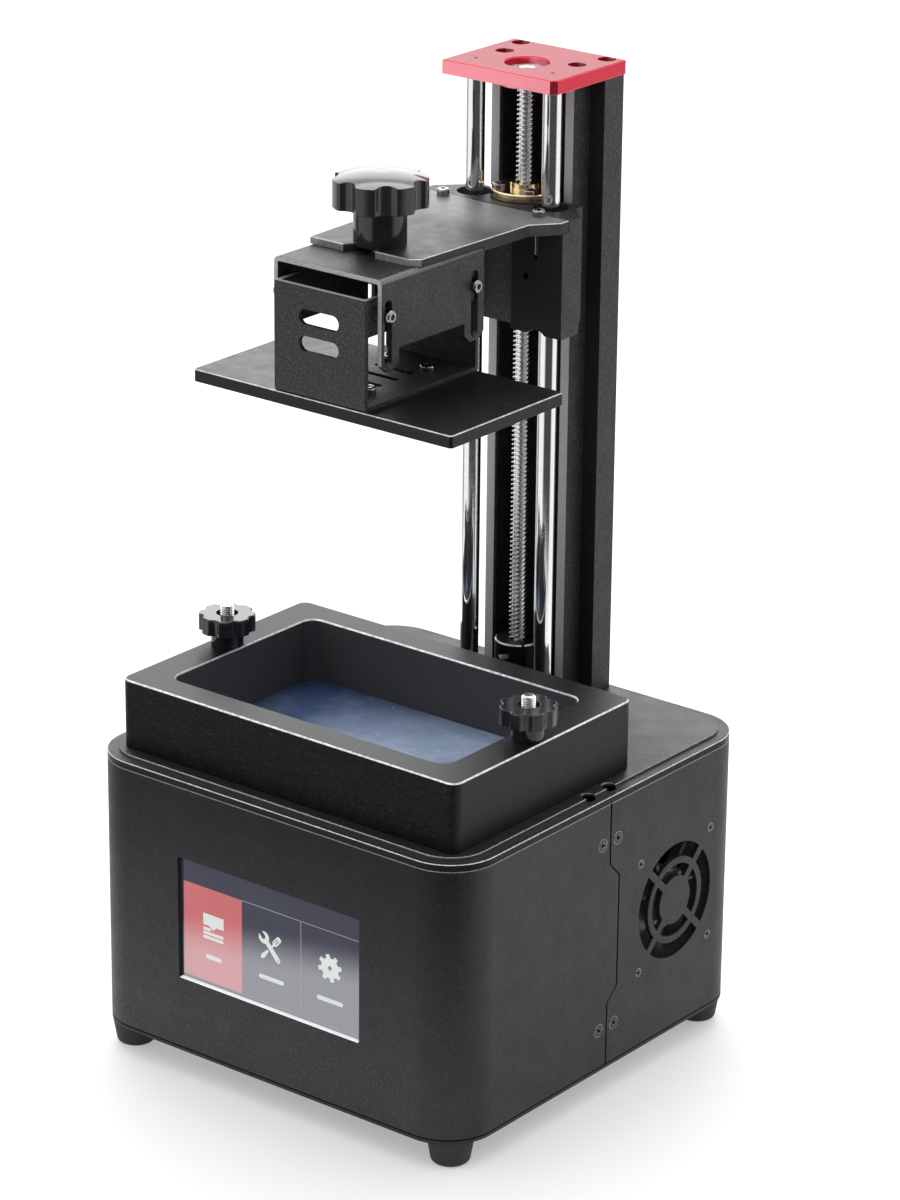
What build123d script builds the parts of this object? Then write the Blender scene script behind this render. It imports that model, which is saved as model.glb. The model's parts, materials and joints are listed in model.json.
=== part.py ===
from build123d import *
import os
import math

# A desktop resin 3D printer: a square body with a screen, mask display and
# light engine, a vat on its deck, and a column whose carriage holds the build
# platform. Frame: origin on the floor under the middle of the body, +X to the
# right seen from the front, +Y to the back, +Z up. Millimetres.

os.makedirs("parts", exist_ok=True)

# ------------------------------------------------------------------- helpers
UP = (Align.CENTER, Align.CENTER, Align.MIN)  # stands on its plane
DOWN = (Align.CENTER, Align.CENTER, Align.MAX)  # hangs below its plane


def save(builder, name):
    builder.part.label = name
    export_step(builder.part, f"parts/{name}.step")


def four_points(dx, dy, x=0, y=0):
    """Corners of a rectangle with half sizes dx, dy about (x, y)."""
    return [(x + sx * dx, y + sy * dy) for sx in (-1, 1) for sy in (-1, 1)]


def mirrored(points):
    """A right-hand half outline followed by its mirror image."""
    return points + [(-x, y) for x, y in reversed(points)]


def level_plane(z, x=0, y=0):
    return Plane(origin=(x, y, z), x_dir=(1, 0, 0), z_dir=(0, 0, 1))


def up_planes(z, points):
    return [level_plane(z, x, y) for x, y in points]


def down_planes(z, points):
    return [Plane(origin=(x, y, z), x_dir=(1, 0, 0), z_dir=(0, 0, -1)) for x, y in points]


def front_plane(x, y, z):
    """Faces the front, its own x to the right and y up."""
    return Plane(origin=(x, y, z), x_dir=(1, 0, 0), z_dir=(0, -1, 0))


def side_planes(side, x, points):
    """Face the left (-1) or right (1), at distance x, at (y, z) points."""
    return [
        Plane(origin=(side * x, y, z), x_dir=(0, 1, 0), z_dir=(side, 0, 0)) for y, z in points
    ]


def sink_hole(radius, rim_radius):
    """A countersunk through hole in thin plate, at the current locations."""
    CounterSinkHole(
        radius=radius, counter_sink_radius=rim_radius, depth=5, counter_sink_angle=90
    )


def sunk_screws(name, planes, shank_r, head_r, length, socket_r, socket_depth):
    """Countersunk hex-socket screws, heads flush with their planes."""
    with BuildPart() as screws:
        with Locations(*planes):
            Cone(bottom_radius=shank_r, top_radius=head_r, height=head_r - shank_r, align=DOWN)
            Cylinder(radius=shank_r, height=length, align=DOWN)
        with BuildSketch(*planes):
            RegularPolygon(radius=socket_r, side_count=6)
        extrude(amount=-socket_depth, mode=Mode.SUBTRACT)
    save(screws, name)


def head_screws(
    name, planes, head_r, head_h, shank_r, length, socket_r, socket_depth, rim_round=0
):
    """Hex-socket screws whose heads stand on their planes."""
    with BuildPart() as screws:
        with Locations(*planes):
            Cylinder(radius=head_r, height=head_h, align=UP)
        if rim_round:
            rims = screws.edges().filter_by(GeomType.CIRCLE).filter_by(
                lambda edge: any(
                    abs((edge.center() - plane.origin).dot(plane.z_dir) - head_h) < 0.05
                    for plane in planes
                )
            )
            fillet(rims, radius=rim_round)
        with Locations(*planes):
            Cylinder(radius=shank_r, height=length, align=DOWN)
        with BuildSketch(*[plane.offset(head_h) for plane in planes]):
            RegularPolygon(radius=socket_r, side_count=6)
        extrude(amount=-socket_depth, mode=Mode.SUBTRACT)
    save(screws, name)


# --------------------------------------------------------- shared dimensions
# screw radii: shank, threaded hole, clearance hole, rim of countersink, sunk head
M3_SHANK, M3_TAP, M3_CLEAR, M3_RIM, M3_HEAD = 1.5, 1.55, 1.6, 3.1, 2.95
M4_SHANK, M4_TAP, M4_CLEAR, M4_RIM, M4_HEAD = 2.0, 2.05, 2.1, 4.1, 3.95

# body
BODY_W, BODY_D, BODY_R = 200.0, 200.0, 22.0
WALL = 2.0
Z_BASE, BASE_T = 12.0, 2.0
Z_COVER = Z_BASE + BASE_T  # underside of the covers
Z_TOP, TOP_T = 133.0, 3.0
Z_DECK0, DECK_T = Z_TOP + TOP_T, 1.2
Z_DECK = Z_DECK0 + DECK_T  # the surface the vat and column stand on
COVER_H = Z_TOP - Z_COVER
CORNERS = four_points(86.4, 86.4)  # feet and frame posts

# electronics
BOARD_X, BOARD_Y, BOARD_PITCH = -20, 55, (100, 54)
STANDOFF_H = 6

# light engine and mask display
OPTIC_Y = -29.5
LCD_W, LCD_D, LCD_T = 132.0, 73.0, 3.2

# vertical axis
SCREW_Y, SCREW_R = 66.8, 4.0
SCREW_SLIDE_R = SCREW_R + 0.05
ROD_X, ROD_Y, ROD_R = 19.9, 58.2, 4.0
ROD_POINTS = [(-ROD_X, ROD_Y), (ROD_X, ROD_Y)]
ROD_FIT_R = ROD_R + 0.02
Z_COLUMN_TOP = 410.0
COLUMN_HOLES = ((-18.8, 76.0), (18.8, 76.0), (-22.5, 91.6), (22.5, 91.6))
MOTOR_HOLES = four_points(15.5, 15.5, y=SCREW_Y)
DRIVE_HOLE_R = 11.2  # opening for the motor and coupler

# studs that hold the vat down, and their knobs
VAT_KNOB_X, VAT_KNOB_Y, STUD_R = 80.7, -31.3, 3.0
STUDS = [(-VAT_KNOB_X, VAT_KNOB_Y), (VAT_KNOB_X, VAT_KNOB_Y)]
STUD_HOLE_R = STUD_R + 0.03
# round cuts above the cover seam, through the deck and the top plate
NOTCHES, NOTCH_R = four_points(93.8, 7.0), 3.1

# ---------------------------------------------------------------- base plate
GROOVE_W, GROOVE_DEPTH = 1.4, 0.6

with BuildPart() as base_plate:
    with BuildSketch(level_plane(Z_BASE)):
        RectangleRounded(BODY_W, BODY_D, BODY_R)
    extrude(amount=BASE_T)
    # shadow groove under the covers
    with BuildSketch(level_plane(Z_COVER)):
        RectangleRounded(BODY_W, BODY_D, BODY_R)
        RectangleRounded(
            BODY_W - 2 * GROOVE_W, BODY_D - 2 * GROOVE_W, BODY_R - GROOVE_W, mode=Mode.SUBTRACT
        )
    extrude(amount=-GROOVE_DEPTH, mode=Mode.SUBTRACT)
    # foot screw holes, and slots under the heatsink
    with BuildSketch(level_plane(Z_BASE)):
        with Locations(*CORNERS):
            Circle(2.2)
        with Locations((0, OPTIC_Y)):
            with GridLocations(9, 0, 9, 1):
                SlotOverall(52, 3.5, rotation=90)
    extrude(amount=BASE_T, mode=Mode.SUBTRACT)
    # pressed stand-offs for the main board
    with BuildSketch(level_plane(Z_COVER, BOARD_X, BOARD_Y)):
        with GridLocations(*BOARD_PITCH, 2, 2):
            Circle(4)
    extrude(amount=STANDOFF_H)
    with BuildSketch(level_plane(Z_BASE, BOARD_X, BOARD_Y)):
        with GridLocations(*BOARD_PITCH, 2, 2):
            Circle(1.5)
    extrude(amount=BASE_T + STANDOFF_H, mode=Mode.SUBTRACT)
save(base_plate, "base_plate")

# ------------------------------------------------------------ feet and posts
FOOT_R0, FOOT_R1, FOOT_ROUND = 8.0, 10.1, 2.2
FOOT_POCKET_R, FOOT_POCKET_H = 4.4, 5.0
POST_R, POST_TAP_DEPTH = 5.6, 12.0

with BuildPart() as feet:
    with Locations(*up_planes(0, CORNERS)):
        Cone(bottom_radius=FOOT_R0, top_radius=FOOT_R1, height=Z_BASE, align=UP)
    fillet(feet.edges().filter_by(GeomType.CIRCLE).group_by(Axis.Z)[0], radius=FOOT_ROUND)
    with Locations(*up_planes(0, CORNERS)):
        Cylinder(radius=FOOT_POCKET_R, height=FOOT_POCKET_H, align=UP, mode=Mode.SUBTRACT)
        Cylinder(radius=M4_CLEAR, height=Z_BASE, align=UP, mode=Mode.SUBTRACT)
save(feet, "feet")

head_screws(
    "foot_screws", down_planes(FOOT_POCKET_H, CORNERS),
    head_r=3.7, head_h=2.4, shank_r=M4_SHANK, length=17.6, socket_r=1.7, socket_depth=1.5,
)

with BuildPart() as frame_posts:
    with BuildSketch(*up_planes(Z_COVER, CORNERS)):
        RegularPolygon(radius=POST_R, side_count=6)
    extrude(amount=COVER_H)
    with Locations(*up_planes(Z_COVER, CORNERS)):
        Cylinder(radius=M4_TAP, height=POST_TAP_DEPTH, align=UP, mode=Mode.SUBTRACT)
    with Locations(*up_planes(Z_TOP, CORNERS)):
        Cylinder(radius=M4_TAP, height=POST_TAP_DEPTH, align=DOWN, mode=Mode.SUBTRACT)
save(frame_posts, "frame_posts")

# -------------------------------------------------------------------- covers
SEAM_Y, SEAM_STEP, SEAM_GAP = 0.9, 6.6, 1.0
SEAM_Z0, SEAM_Z1 = 48.4, 105.4
# The seam runs down both sides, with a step towards the back between
# two 45-degree shoulders. Columns: y, z.
SEAM = [
    (SEAM_Y, Z_TOP + 5),
    (SEAM_Y, SEAM_Z1),
    (SEAM_Y + SEAM_STEP, SEAM_Z1 - SEAM_STEP),
    (SEAM_Y + SEAM_STEP, SEAM_Z0),
    (SEAM_Y, SEAM_Z0 - SEAM_STEP),
    (SEAM_Y, Z_COVER - 5),
]
SEAM_FAR_Y = 150  # beyond the body, front or back
CUT_DEPTH = WALL + 1  # clears the wall

COVER_SCREW_Z = (31.1, 115.7)


def cover_planes(y):
    points = [(y, z) for z in COVER_SCREW_Z]
    return side_planes(1, BODY_W / 2, points) + side_planes(-1, BODY_W / 2, points)


FRONT_PLANES, REAR_PLANES = cover_planes(-4.3), cover_planes(6.1)
COVER_PLANES = FRONT_PLANES + REAR_PLANES


def half_shell(way):
    """The body wall on the front (-1) or back (1) side of the seam."""
    with BuildPart() as shell:
        with BuildSketch(level_plane(Z_COVER)):
            RectangleRounded(BODY_W, BODY_D, BODY_R)
            RectangleRounded(
                BODY_W - 2 * WALL, BODY_D - 2 * WALL, BODY_R - WALL, mode=Mode.SUBTRACT
            )
        extrude(amount=COVER_H)
        with BuildSketch(Plane.YZ.offset(-BODY_W)):
            with BuildLine():
                Polyline(
                    [(way * SEAM_FAR_Y, Z_TOP + 5)]
                    + [(y + way * SEAM_GAP / 2, z) for y, z in SEAM]
                    + [(way * SEAM_FAR_Y, Z_COVER - 5)],
                    close=True,
                )
            make_face()
        extrude(amount=2 * BODY_W, mode=Mode.INTERSECT)
    return shell.part


SCREEN_W, SCREEN_H, SCREEN_Z = 98.0, 55.4, 73.6

front_shell = half_shell(-1)
with BuildPart() as front_cover:
    add(front_shell)
    # window for the screen
    with BuildSketch(front_plane(0, -BODY_D / 2, SCREEN_Z)):
        RectangleRounded(SCREEN_W, SCREEN_H, 1.0)
    extrude(amount=-CUT_DEPTH, mode=Mode.SUBTRACT)
    with Locations(*FRONT_PLANES):
        sink_hole(M3_CLEAR, M3_RIM)
save(front_cover, "front_cover")

# fan on the right side
FAN_Y, FAN_Z, FAN_SIZE, FAN_PITCH, FAN_T = 48.0, 72.9, 60.0, 50.0, 15.0
FAN_PLANES = side_planes(
    1, BODY_W / 2, four_points(FAN_PITCH / 2, FAN_PITCH / 2, FAN_Y, FAN_Z)
)
GRILLE_R, GRILLE_RING_R0, GRILLE_RING_R1 = 25.8, 16.2, 19.2
GRILLE_HUB_R, GRILLE_SPOKE = 10.8, 3.3

# sockets in the back wall
PORT_Z = 60.0
INLET_X, SWITCH_X, USB_X = -62.0, -30.0, 34.0
INLET_R = 5.4
SWITCH_W, SWITCH_H = 13.0, 19.0
USB_W, USB_H = 14.5, 7.1
PORT_FLANGE_T = 1.5
EXHAUST_RISE = 48  # height of the slots above the sockets

rear_shell = half_shell(1)
with BuildPart() as rear_cover:
    add(rear_shell)
    # fan grille: a ring and four diagonal spokes left in a round opening
    with BuildSketch(*side_planes(1, BODY_W / 2, [(FAN_Y, FAN_Z)])):
        Circle(GRILLE_R)
        Circle(GRILLE_RING_R1, mode=Mode.SUBTRACT)
        Circle(GRILLE_RING_R0)
        Circle(GRILLE_HUB_R, mode=Mode.SUBTRACT)
        Rectangle(4 * GRILLE_R, GRILLE_SPOKE, rotation=45, mode=Mode.SUBTRACT)
        Rectangle(4 * GRILLE_R, GRILLE_SPOKE, rotation=-45, mode=Mode.SUBTRACT)
    extrude(amount=-CUT_DEPTH, mode=Mode.SUBTRACT)
    with Locations(*FAN_PLANES):
        sink_hole(1.4, 2.1)
    with Locations(*REAR_PLANES):
        sink_hole(M3_CLEAR, M3_RIM)
    # inlet, rocker switch, data port, exhaust slots; this plane's own y points down
    with BuildSketch(Plane(origin=(0, BODY_D / 2, PORT_Z), x_dir=(1, 0, 0), z_dir=(0, 1, 0))):
        with Locations((INLET_X, 0)):
            Circle(INLET_R + 0.1)
        with Locations((SWITCH_X, 0)):
            Rectangle(SWITCH_W + 0.2, SWITCH_H + 0.2)
        with Locations((USB_X, 0)):
            Rectangle(USB_W + 0.4, USB_H + 0.4)
        with Locations((0, -EXHAUST_RISE)):
            with GridLocations(9, 0, 11, 1):
                SlotOverall(22, 3, rotation=90)
    extrude(amount=-CUT_DEPTH, mode=Mode.SUBTRACT)
save(rear_cover, "rear_cover")

# strips inside the side walls that join the two covers
STRIP_W, STRIP_H, STRIP_T, STRIP_Z = 20, 106, 4, 73.4

with BuildPart() as side_strips:
    with BuildSketch(
        *[side_planes(side, BODY_W / 2 - WALL, [(SEAM_Y, STRIP_Z)])[0] for side in (-1, 1)]
    ):
        Rectangle(STRIP_W, STRIP_H)
    extrude(amount=-STRIP_T)
    with Locations(*COVER_PLANES):
        Cylinder(radius=M3_TAP, height=12, align=DOWN, mode=Mode.SUBTRACT)
save(side_strips, "side_strips")

sunk_screws(
    "cover_screws", COVER_PLANES,
    shank_r=M3_SHANK, head_r=M3_HEAD, length=5.6, socket_r=1.15, socket_depth=1.2,
)

# ------------------------------------------------------ top and deck plates
TOP_OPENING_W, TOP_OPENING_D = 122, 69
DECK_INSET = 5.0
LCD_GAP = 0.3

with BuildPart() as top_plate:
    with BuildSketch(level_plane(Z_TOP)):
        RectangleRounded(BODY_W, BODY_D, BODY_R)
        with Locations((0, OPTIC_Y)):
            Rectangle(TOP_OPENING_W, TOP_OPENING_D, mode=Mode.SUBTRACT)
        with Locations((0, SCREW_Y)):
            Circle(DRIVE_HOLE_R, mode=Mode.SUBTRACT)
        with Locations(*STUDS):
            Circle(STUD_HOLE_R, mode=Mode.SUBTRACT)
        with Locations(*NOTCHES):
            Circle(NOTCH_R, mode=Mode.SUBTRACT)
    extrude(amount=TOP_T)
    with Locations(*up_planes(Z_DECK0, CORNERS)):
        sink_hole(M4_CLEAR, M4_RIM)
    with Locations(*up_planes(Z_DECK0, MOTOR_HOLES)):
        sink_hole(M3_CLEAR, M3_RIM)
    with Locations(*down_planes(Z_TOP, COLUMN_HOLES)):
        sink_hole(M4_CLEAR, M4_RIM)
    chamfer(top_plate.faces().sort_by(Axis.Z)[-1].outer_wire().edges(), length=0.3)
save(top_plate, "top_plate")

with BuildPart() as deck_plate:
    with BuildSketch(level_plane(Z_DECK0)):
        RectangleRounded(
            BODY_W - 2 * DECK_INSET, BODY_D - 2 * DECK_INSET, BODY_R - DECK_INSET
        )
        with Locations((0, OPTIC_Y)):
            Rectangle(LCD_W + 2 * LCD_GAP, LCD_D + 2 * LCD_GAP, mode=Mode.SUBTRACT)
        with Locations((0, SCREW_Y)):
            Circle(DRIVE_HOLE_R, mode=Mode.SUBTRACT)
        with Locations(*STUDS):
            Circle(STUD_HOLE_R, mode=Mode.SUBTRACT)
        with Locations(*COLUMN_HOLES):
            Circle(M4_CLEAR, mode=Mode.SUBTRACT)
        with Locations(*NOTCHES):
            Circle(NOTCH_R, mode=Mode.SUBTRACT)
    extrude(amount=DECK_T)
save(deck_plate, "deck_plate")

# four down into the posts, four up into the column
sunk_screws(
    "plate_fixings", up_planes(Z_DECK0, CORNERS) + down_planes(Z_TOP, COLUMN_HOLES),
    shank_r=M4_SHANK, head_r=M4_HEAD, length=13.0, socket_r=1.4, socket_depth=1.6,
)

# -------------------------------------------------------------- touch screen
GLASS_Y, GLASS_T, GLASS_MARGIN = -BODY_D / 2 + WALL, 1.4, 3.5
MODULE_T, MODULE_MARGIN = 4.5, 1.0

with BuildPart() as touch_screen:
    with BuildSketch(front_plane(0, GLASS_Y, SCREEN_Z)):
        RectangleRounded(SCREEN_W + 2 * GLASS_MARGIN, SCREEN_H + 2 * GLASS_MARGIN, 1.5)
    extrude(amount=-GLASS_T)
    with BuildSketch(front_plane(0, GLASS_Y + GLASS_T, SCREEN_Z)):
        Rectangle(SCREEN_W + 2 * MODULE_MARGIN, SCREEN_H + 2 * MODULE_MARGIN)
    extrude(amount=-MODULE_T)
    # two blocks on the back of the module
    with BuildSketch(front_plane(0, GLASS_Y + GLASS_T + MODULE_T, SCREEN_Z)):
        with Locations((-32, 14)):
            Rectangle(24, 12)
        with Locations((24, -12)):
            Rectangle(14, 6)
    extrude(amount=-3)
save(touch_screen, "touch_screen")

# -------------------------------------------------------------- light engine
LENS_W, LENS_D, LENS_T = 128, 74, 2
LED_W, LED_D, LED_T, Z_LED = 84, 64, 1.6, 48
Z_LENS, Z_REFLECTOR = Z_TOP - LENS_T, Z_LED + LED_T
REFLECTOR_WALL = 1.5
SINK_W, SINK_D, SINK_T = 90, 70, 5
Z_FIN_TOP = Z_LED - SINK_T

with BuildPart() as mask_lcd:
    with BuildSketch(level_plane(Z_DECK0, y=OPTIC_Y)):
        Rectangle(LCD_W, LCD_D)
    extrude(amount=LCD_T)
    chamfer(mask_lcd.faces().sort_by(Axis.Z)[-1].edges(), length=0.3)
save(mask_lcd, "mask_lcd")

with BuildPart() as uv_lens:
    with BuildSketch(level_plane(Z_LENS, y=OPTIC_Y)):
        RectangleRounded(LENS_W, LENS_D, 2)
    extrude(amount=LENS_T)
save(uv_lens, "uv_lens")

# a funnel from the lamp board up to the lens
with BuildPart() as uv_reflector:
    for inset, mode in ((0, Mode.ADD), (2 * REFLECTOR_WALL, Mode.SUBTRACT)):
        with BuildSketch(level_plane(Z_REFLECTOR, y=OPTIC_Y)):
            Rectangle(LED_W - inset, LED_D - inset)
        with BuildSketch(level_plane(Z_LENS, y=OPTIC_Y)):
            Rectangle(LENS_W - inset, LENS_D - inset)
        loft(mode=mode)
save(uv_reflector, "uv_reflector")

with BuildPart() as uv_led_board:
    with BuildSketch(level_plane(Z_LED, y=OPTIC_Y)):
        Rectangle(LED_W, LED_D)
    extrude(amount=LED_T)
    with BuildSketch(level_plane(Z_REFLECTOR, y=OPTIC_Y)):
        with GridLocations(14, 14, 5, 4):
            Circle(2.6)
    extrude(amount=1.8)
save(uv_led_board, "uv_led_board")

with BuildPart() as uv_heatsink:
    with BuildSketch(level_plane(Z_FIN_TOP, y=OPTIC_Y)):
        Rectangle(SINK_W, SINK_D)
    extrude(amount=SINK_T)
    with BuildSketch(level_plane(Z_COVER, y=OPTIC_Y)):
        with GridLocations(8, 0, 12, 1):
            Rectangle(1.8, SINK_D)
    extrude(amount=Z_FIN_TOP - Z_COVER)
save(uv_heatsink, "uv_heatsink")

# ----------------------------------------------------------------------- fan
FAN_OUT = BODY_W / 2 - WALL  # x of the frame's outer face
FAN_PLANE = side_planes(1, FAN_OUT, [(FAN_Y, FAN_Z)])[0]
FAN_HUB_R, FAN_PIN_R = 13, 1.55
FAN_STRUT_L, FAN_STRUT_W, FAN_STRUT_T = 58, 3, 2
ROTOR_INSET, ROTOR_T = 1.6, 10.4
BLADES, BLADE_PITCH = 7, math.radians(35)
BLADE_ROOT_R, BLADE_L, BLADE_W, BLADE_T, BLADE_INSET = 12.0, 15.0, 9.5, 1.2, 6.6

with BuildPart() as fan_frame:
    with BuildSketch(FAN_PLANE):
        RectangleRounded(FAN_SIZE, FAN_SIZE, 3)
        Circle(28.5, mode=Mode.SUBTRACT)
    extrude(amount=-FAN_T)
    # hub disc and struts on the inner face
    with BuildSketch(FAN_PLANE.offset(-FAN_T + FAN_STRUT_T)):
        Circle(FAN_HUB_R)
        Rectangle(FAN_STRUT_L, FAN_STRUT_W)
        Rectangle(FAN_STRUT_W, FAN_STRUT_L)
    extrude(amount=-FAN_STRUT_T)
    with Locations(FAN_PLANE.offset(-FAN_T)):
        Cylinder(radius=FAN_PIN_R, height=5, align=UP)
    with Locations(*FAN_PLANES):
        Cylinder(radius=M3_TAP, height=30, align=DOWN, mode=Mode.SUBTRACT)
save(fan_frame, "fan_frame")

with BuildPart() as fan_rotor:
    with BuildSketch(FAN_PLANE.offset(-ROTOR_INSET)):
        Circle(FAN_HUB_R)
    extrude(amount=-ROTOR_T)
    with BuildSketch(FAN_PLANE.offset(-ROTOR_INSET - ROTOR_T)):
        Circle(FAN_PIN_R + 0.1)
    extrude(amount=4, mode=Mode.SUBTRACT)
    # pitched blades, each drawn out along its own radius
    for k in range(BLADES):
        angle = math.radians(360.0 / BLADES * k)
        out_y, out_z = math.cos(angle), math.sin(angle)
        blade_plane = Plane(
            origin=(
                FAN_OUT - BLADE_INSET,
                FAN_Y + BLADE_ROOT_R * out_y,
                FAN_Z + BLADE_ROOT_R * out_z,
            ),
            x_dir=(
                math.cos(BLADE_PITCH),
                -math.sin(BLADE_PITCH) * out_z,
                math.sin(BLADE_PITCH) * out_y,
            ),
            z_dir=(0, out_y, out_z),
        )
        with BuildSketch(blade_plane):
            Rectangle(BLADE_W, BLADE_T)
        extrude(amount=BLADE_L)
save(fan_rotor, "fan_rotor")

sunk_screws(
    "fan_screws", FAN_PLANES,
    shank_r=1.3, head_r=1.95, length=13, socket_r=0.95, socket_depth=1.2,
)

# --------------------------------------------------------------- electronics
Z_BOARD, BOARD_T = Z_COVER + STANDOFF_H, 1.6
# low parts and tall blocks on the board: x, y, width, depth
CHIPS = [(-40, 50, 14, 14), (-12, 62, 20, 20), (14, 40, 12, 10)]
BLOCKS = [(-60, 80, 16, 8), (-22, 80, 24, 6), (20, 80, 14, 8)]

with BuildPart() as main_board:
    with BuildSketch(level_plane(Z_BOARD, BOARD_X, BOARD_Y)):
        Rectangle(110, 64)
        with GridLocations(*BOARD_PITCH, 2, 2):
            Circle(1.6, mode=Mode.SUBTRACT)
    extrude(amount=BOARD_T)
    with BuildSketch(level_plane(Z_BOARD + BOARD_T)):
        for x, y, width, depth in CHIPS:
            with Locations((x, y)):
                Rectangle(width, depth)
    extrude(amount=2.2)
    with BuildSketch(level_plane(Z_BOARD + BOARD_T)):
        for x, y, width, depth in BLOCKS:
            with Locations((x, y)):
                Rectangle(width, depth)
        with Locations((-62, 34), (-52, 34)):
            Circle(4)
    extrude(amount=9)
save(main_board, "main_board")


def back_plane(x, out=0):
    """Faces the back at socket height, a distance out from the back wall."""
    return Plane(origin=(x, BODY_D / 2 + out, PORT_Z), x_dir=(-1, 0, 0), z_dir=(0, 1, 0))


with BuildPart() as power_inlet:
    with BuildSketch(back_plane(INLET_X)):
        Circle(7.2)
    extrude(amount=PORT_FLANGE_T)
    with BuildSketch(back_plane(INLET_X)):
        Circle(INLET_R)
    extrude(amount=-13)
    # nut inside the wall
    with BuildSketch(back_plane(INLET_X, -WALL)):
        RegularPolygon(radius=7.4, side_count=6)
    extrude(amount=-2.5)
    # socket and its centre pin
    with BuildSketch(back_plane(INLET_X, PORT_FLANGE_T)):
        Circle(2.8)
    extrude(amount=-10, mode=Mode.SUBTRACT)
    with BuildSketch(back_plane(INLET_X, PORT_FLANGE_T - 10)):
        Circle(1.0)
    extrude(amount=8)
save(power_inlet, "power_inlet")

ROCKER_Y, ROCKER_R, ROCKER_W = 94.6, 7.6, 10.0
ROCKER_GAP_R = ROCKER_R + 0.35
ROCKER_POCKET_W = ROCKER_W + 0.6
ROCKER_PLANE = Plane(origin=(SWITCH_X, ROCKER_Y, PORT_Z), x_dir=(0, 1, 0), z_dir=(1, 0, 0))

with BuildPart() as switch_housing:
    with BuildSketch(back_plane(SWITCH_X)):
        RectangleRounded(SWITCH_W + 2.2, SWITCH_H + 2.2, 1.2)
    extrude(amount=PORT_FLANGE_T)
    with BuildSketch(back_plane(SWITCH_X)):
        Rectangle(SWITCH_W, SWITCH_H)
    extrude(amount=-15)
    with Locations(ROCKER_PLANE):
        Cylinder(radius=ROCKER_GAP_R, height=ROCKER_POCKET_W, mode=Mode.SUBTRACT)
    with BuildSketch(back_plane(SWITCH_X, 2)):
        Rectangle(ROCKER_POCKET_W, 2 * ROCKER_GAP_R)
    extrude(amount=-(BODY_D / 2 + 2 - ROCKER_Y), mode=Mode.SUBTRACT)
save(switch_housing, "switch_housing")

with BuildPart() as power_rocker:
    with Locations(ROCKER_PLANE):
        Cylinder(radius=ROCKER_R, height=ROCKER_W)
    # dished outer face: two flats that meet in a shallow valley
    with BuildSketch(Plane.YZ.offset(SWITCH_X - 8)):
        with BuildLine():
            Polyline(
                [
                    (ROCKER_Y + 6.4, PORT_Z),
                    (ROCKER_Y + 7.6, PORT_Z + 9),
                    (ROCKER_Y + 20, PORT_Z + 9),
                    (ROCKER_Y + 20, PORT_Z - 9),
                    (ROCKER_Y + 7.6, PORT_Z - 9),
                ],
                close=True,
            )
        make_face()
    extrude(amount=16, mode=Mode.SUBTRACT)
    # flat inner side
    with BuildSketch(Plane.YZ.offset(SWITCH_X - 8)):
        with Locations((ROCKER_Y - 12, PORT_Z)):
            Rectangle(16, 30)
    extrude(amount=16, mode=Mode.SUBTRACT)
save(power_rocker, "power_rocker")

USB_OUT, USB_WALL = 0.2, 0.95

with BuildPart() as usb_port:
    with BuildSketch(back_plane(USB_X, USB_OUT)):
        Rectangle(USB_W, USB_H)
    extrude(amount=-18)
    with BuildSketch(back_plane(USB_X, USB_OUT)):
        Rectangle(USB_W - 2 * USB_WALL, USB_H - 2 * USB_WALL)
    extrude(amount=-14, mode=Mode.SUBTRACT)
    # tongue in the upper half of the socket
    with BuildSketch(back_plane(USB_X, -1)):
        with Locations((0, 1.1)):
            Rectangle(11, 1.9)
    extrude(amount=-13)
save(usb_port, "usb_port")

# ---------------------------------------------------------------- axis drive
Z_MOTOR = 93
# motor body from the bottom up: height, width, corner radius
MOTOR_LAYERS = [(9, 42.3, 5), (22, 40.6, 8), (9, 42.3, 5)]
MOTOR_BOSS_R, MOTOR_BOSS_H = 11, 2
SHAFT_R = 2.5

with BuildPart() as z_motor:
    z_layer = Z_MOTOR
    for height, width, corner_r in MOTOR_LAYERS:
        with BuildSketch(level_plane(z_layer, y=SCREW_Y)):
            RectangleRounded(width, width, corner_r)
        extrude(amount=height)
        z_layer += height
    with Locations((0, SCREW_Y, Z_TOP)):
        Cylinder(radius=MOTOR_BOSS_R, height=MOTOR_BOSS_H, align=UP)
    with Locations((0, SCREW_Y, Z_TOP + MOTOR_BOSS_H)):
        Cylinder(radius=SHAFT_R + 0.06, height=35.5, align=DOWN, mode=Mode.SUBTRACT)
    with Locations(*up_planes(Z_TOP, MOTOR_HOLES)):
        Cylinder(radius=M3_TAP, height=5.5, align=DOWN, mode=Mode.SUBTRACT)
save(z_motor, "z_motor")

with BuildPart() as motor_shaft:
    with Locations((0, SCREW_Y, 100)):
        Cylinder(radius=SHAFT_R, height=50, align=UP)
    chamfer(motor_shaft.edges().group_by(Axis.Z)[-1], length=0.4)
save(motor_shaft, "motor_shaft")

sunk_screws(
    "motor_screws", up_planes(Z_DECK0, MOTOR_HOLES),
    shank_r=M3_SHANK, head_r=M3_HEAD, length=8, socket_r=1.15, socket_depth=1.2,
)

# coupler: split clamp, slit pointing forward and right, two cross screws
COUPLER_R, COUPLER_Z0, COUPLER_Z1 = 10.0, 139.5, 161.5
COUPLER_H = COUPLER_Z1 - COUPLER_Z0
SLIT_ANGLE, SLIT_L, SLIT_W = -39, 16, 1.1
SLIT_X_DIR = math.cos(math.radians(SLIT_ANGLE))
SLIT_Y_DIR = math.sin(math.radians(SLIT_ANGLE))
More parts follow.
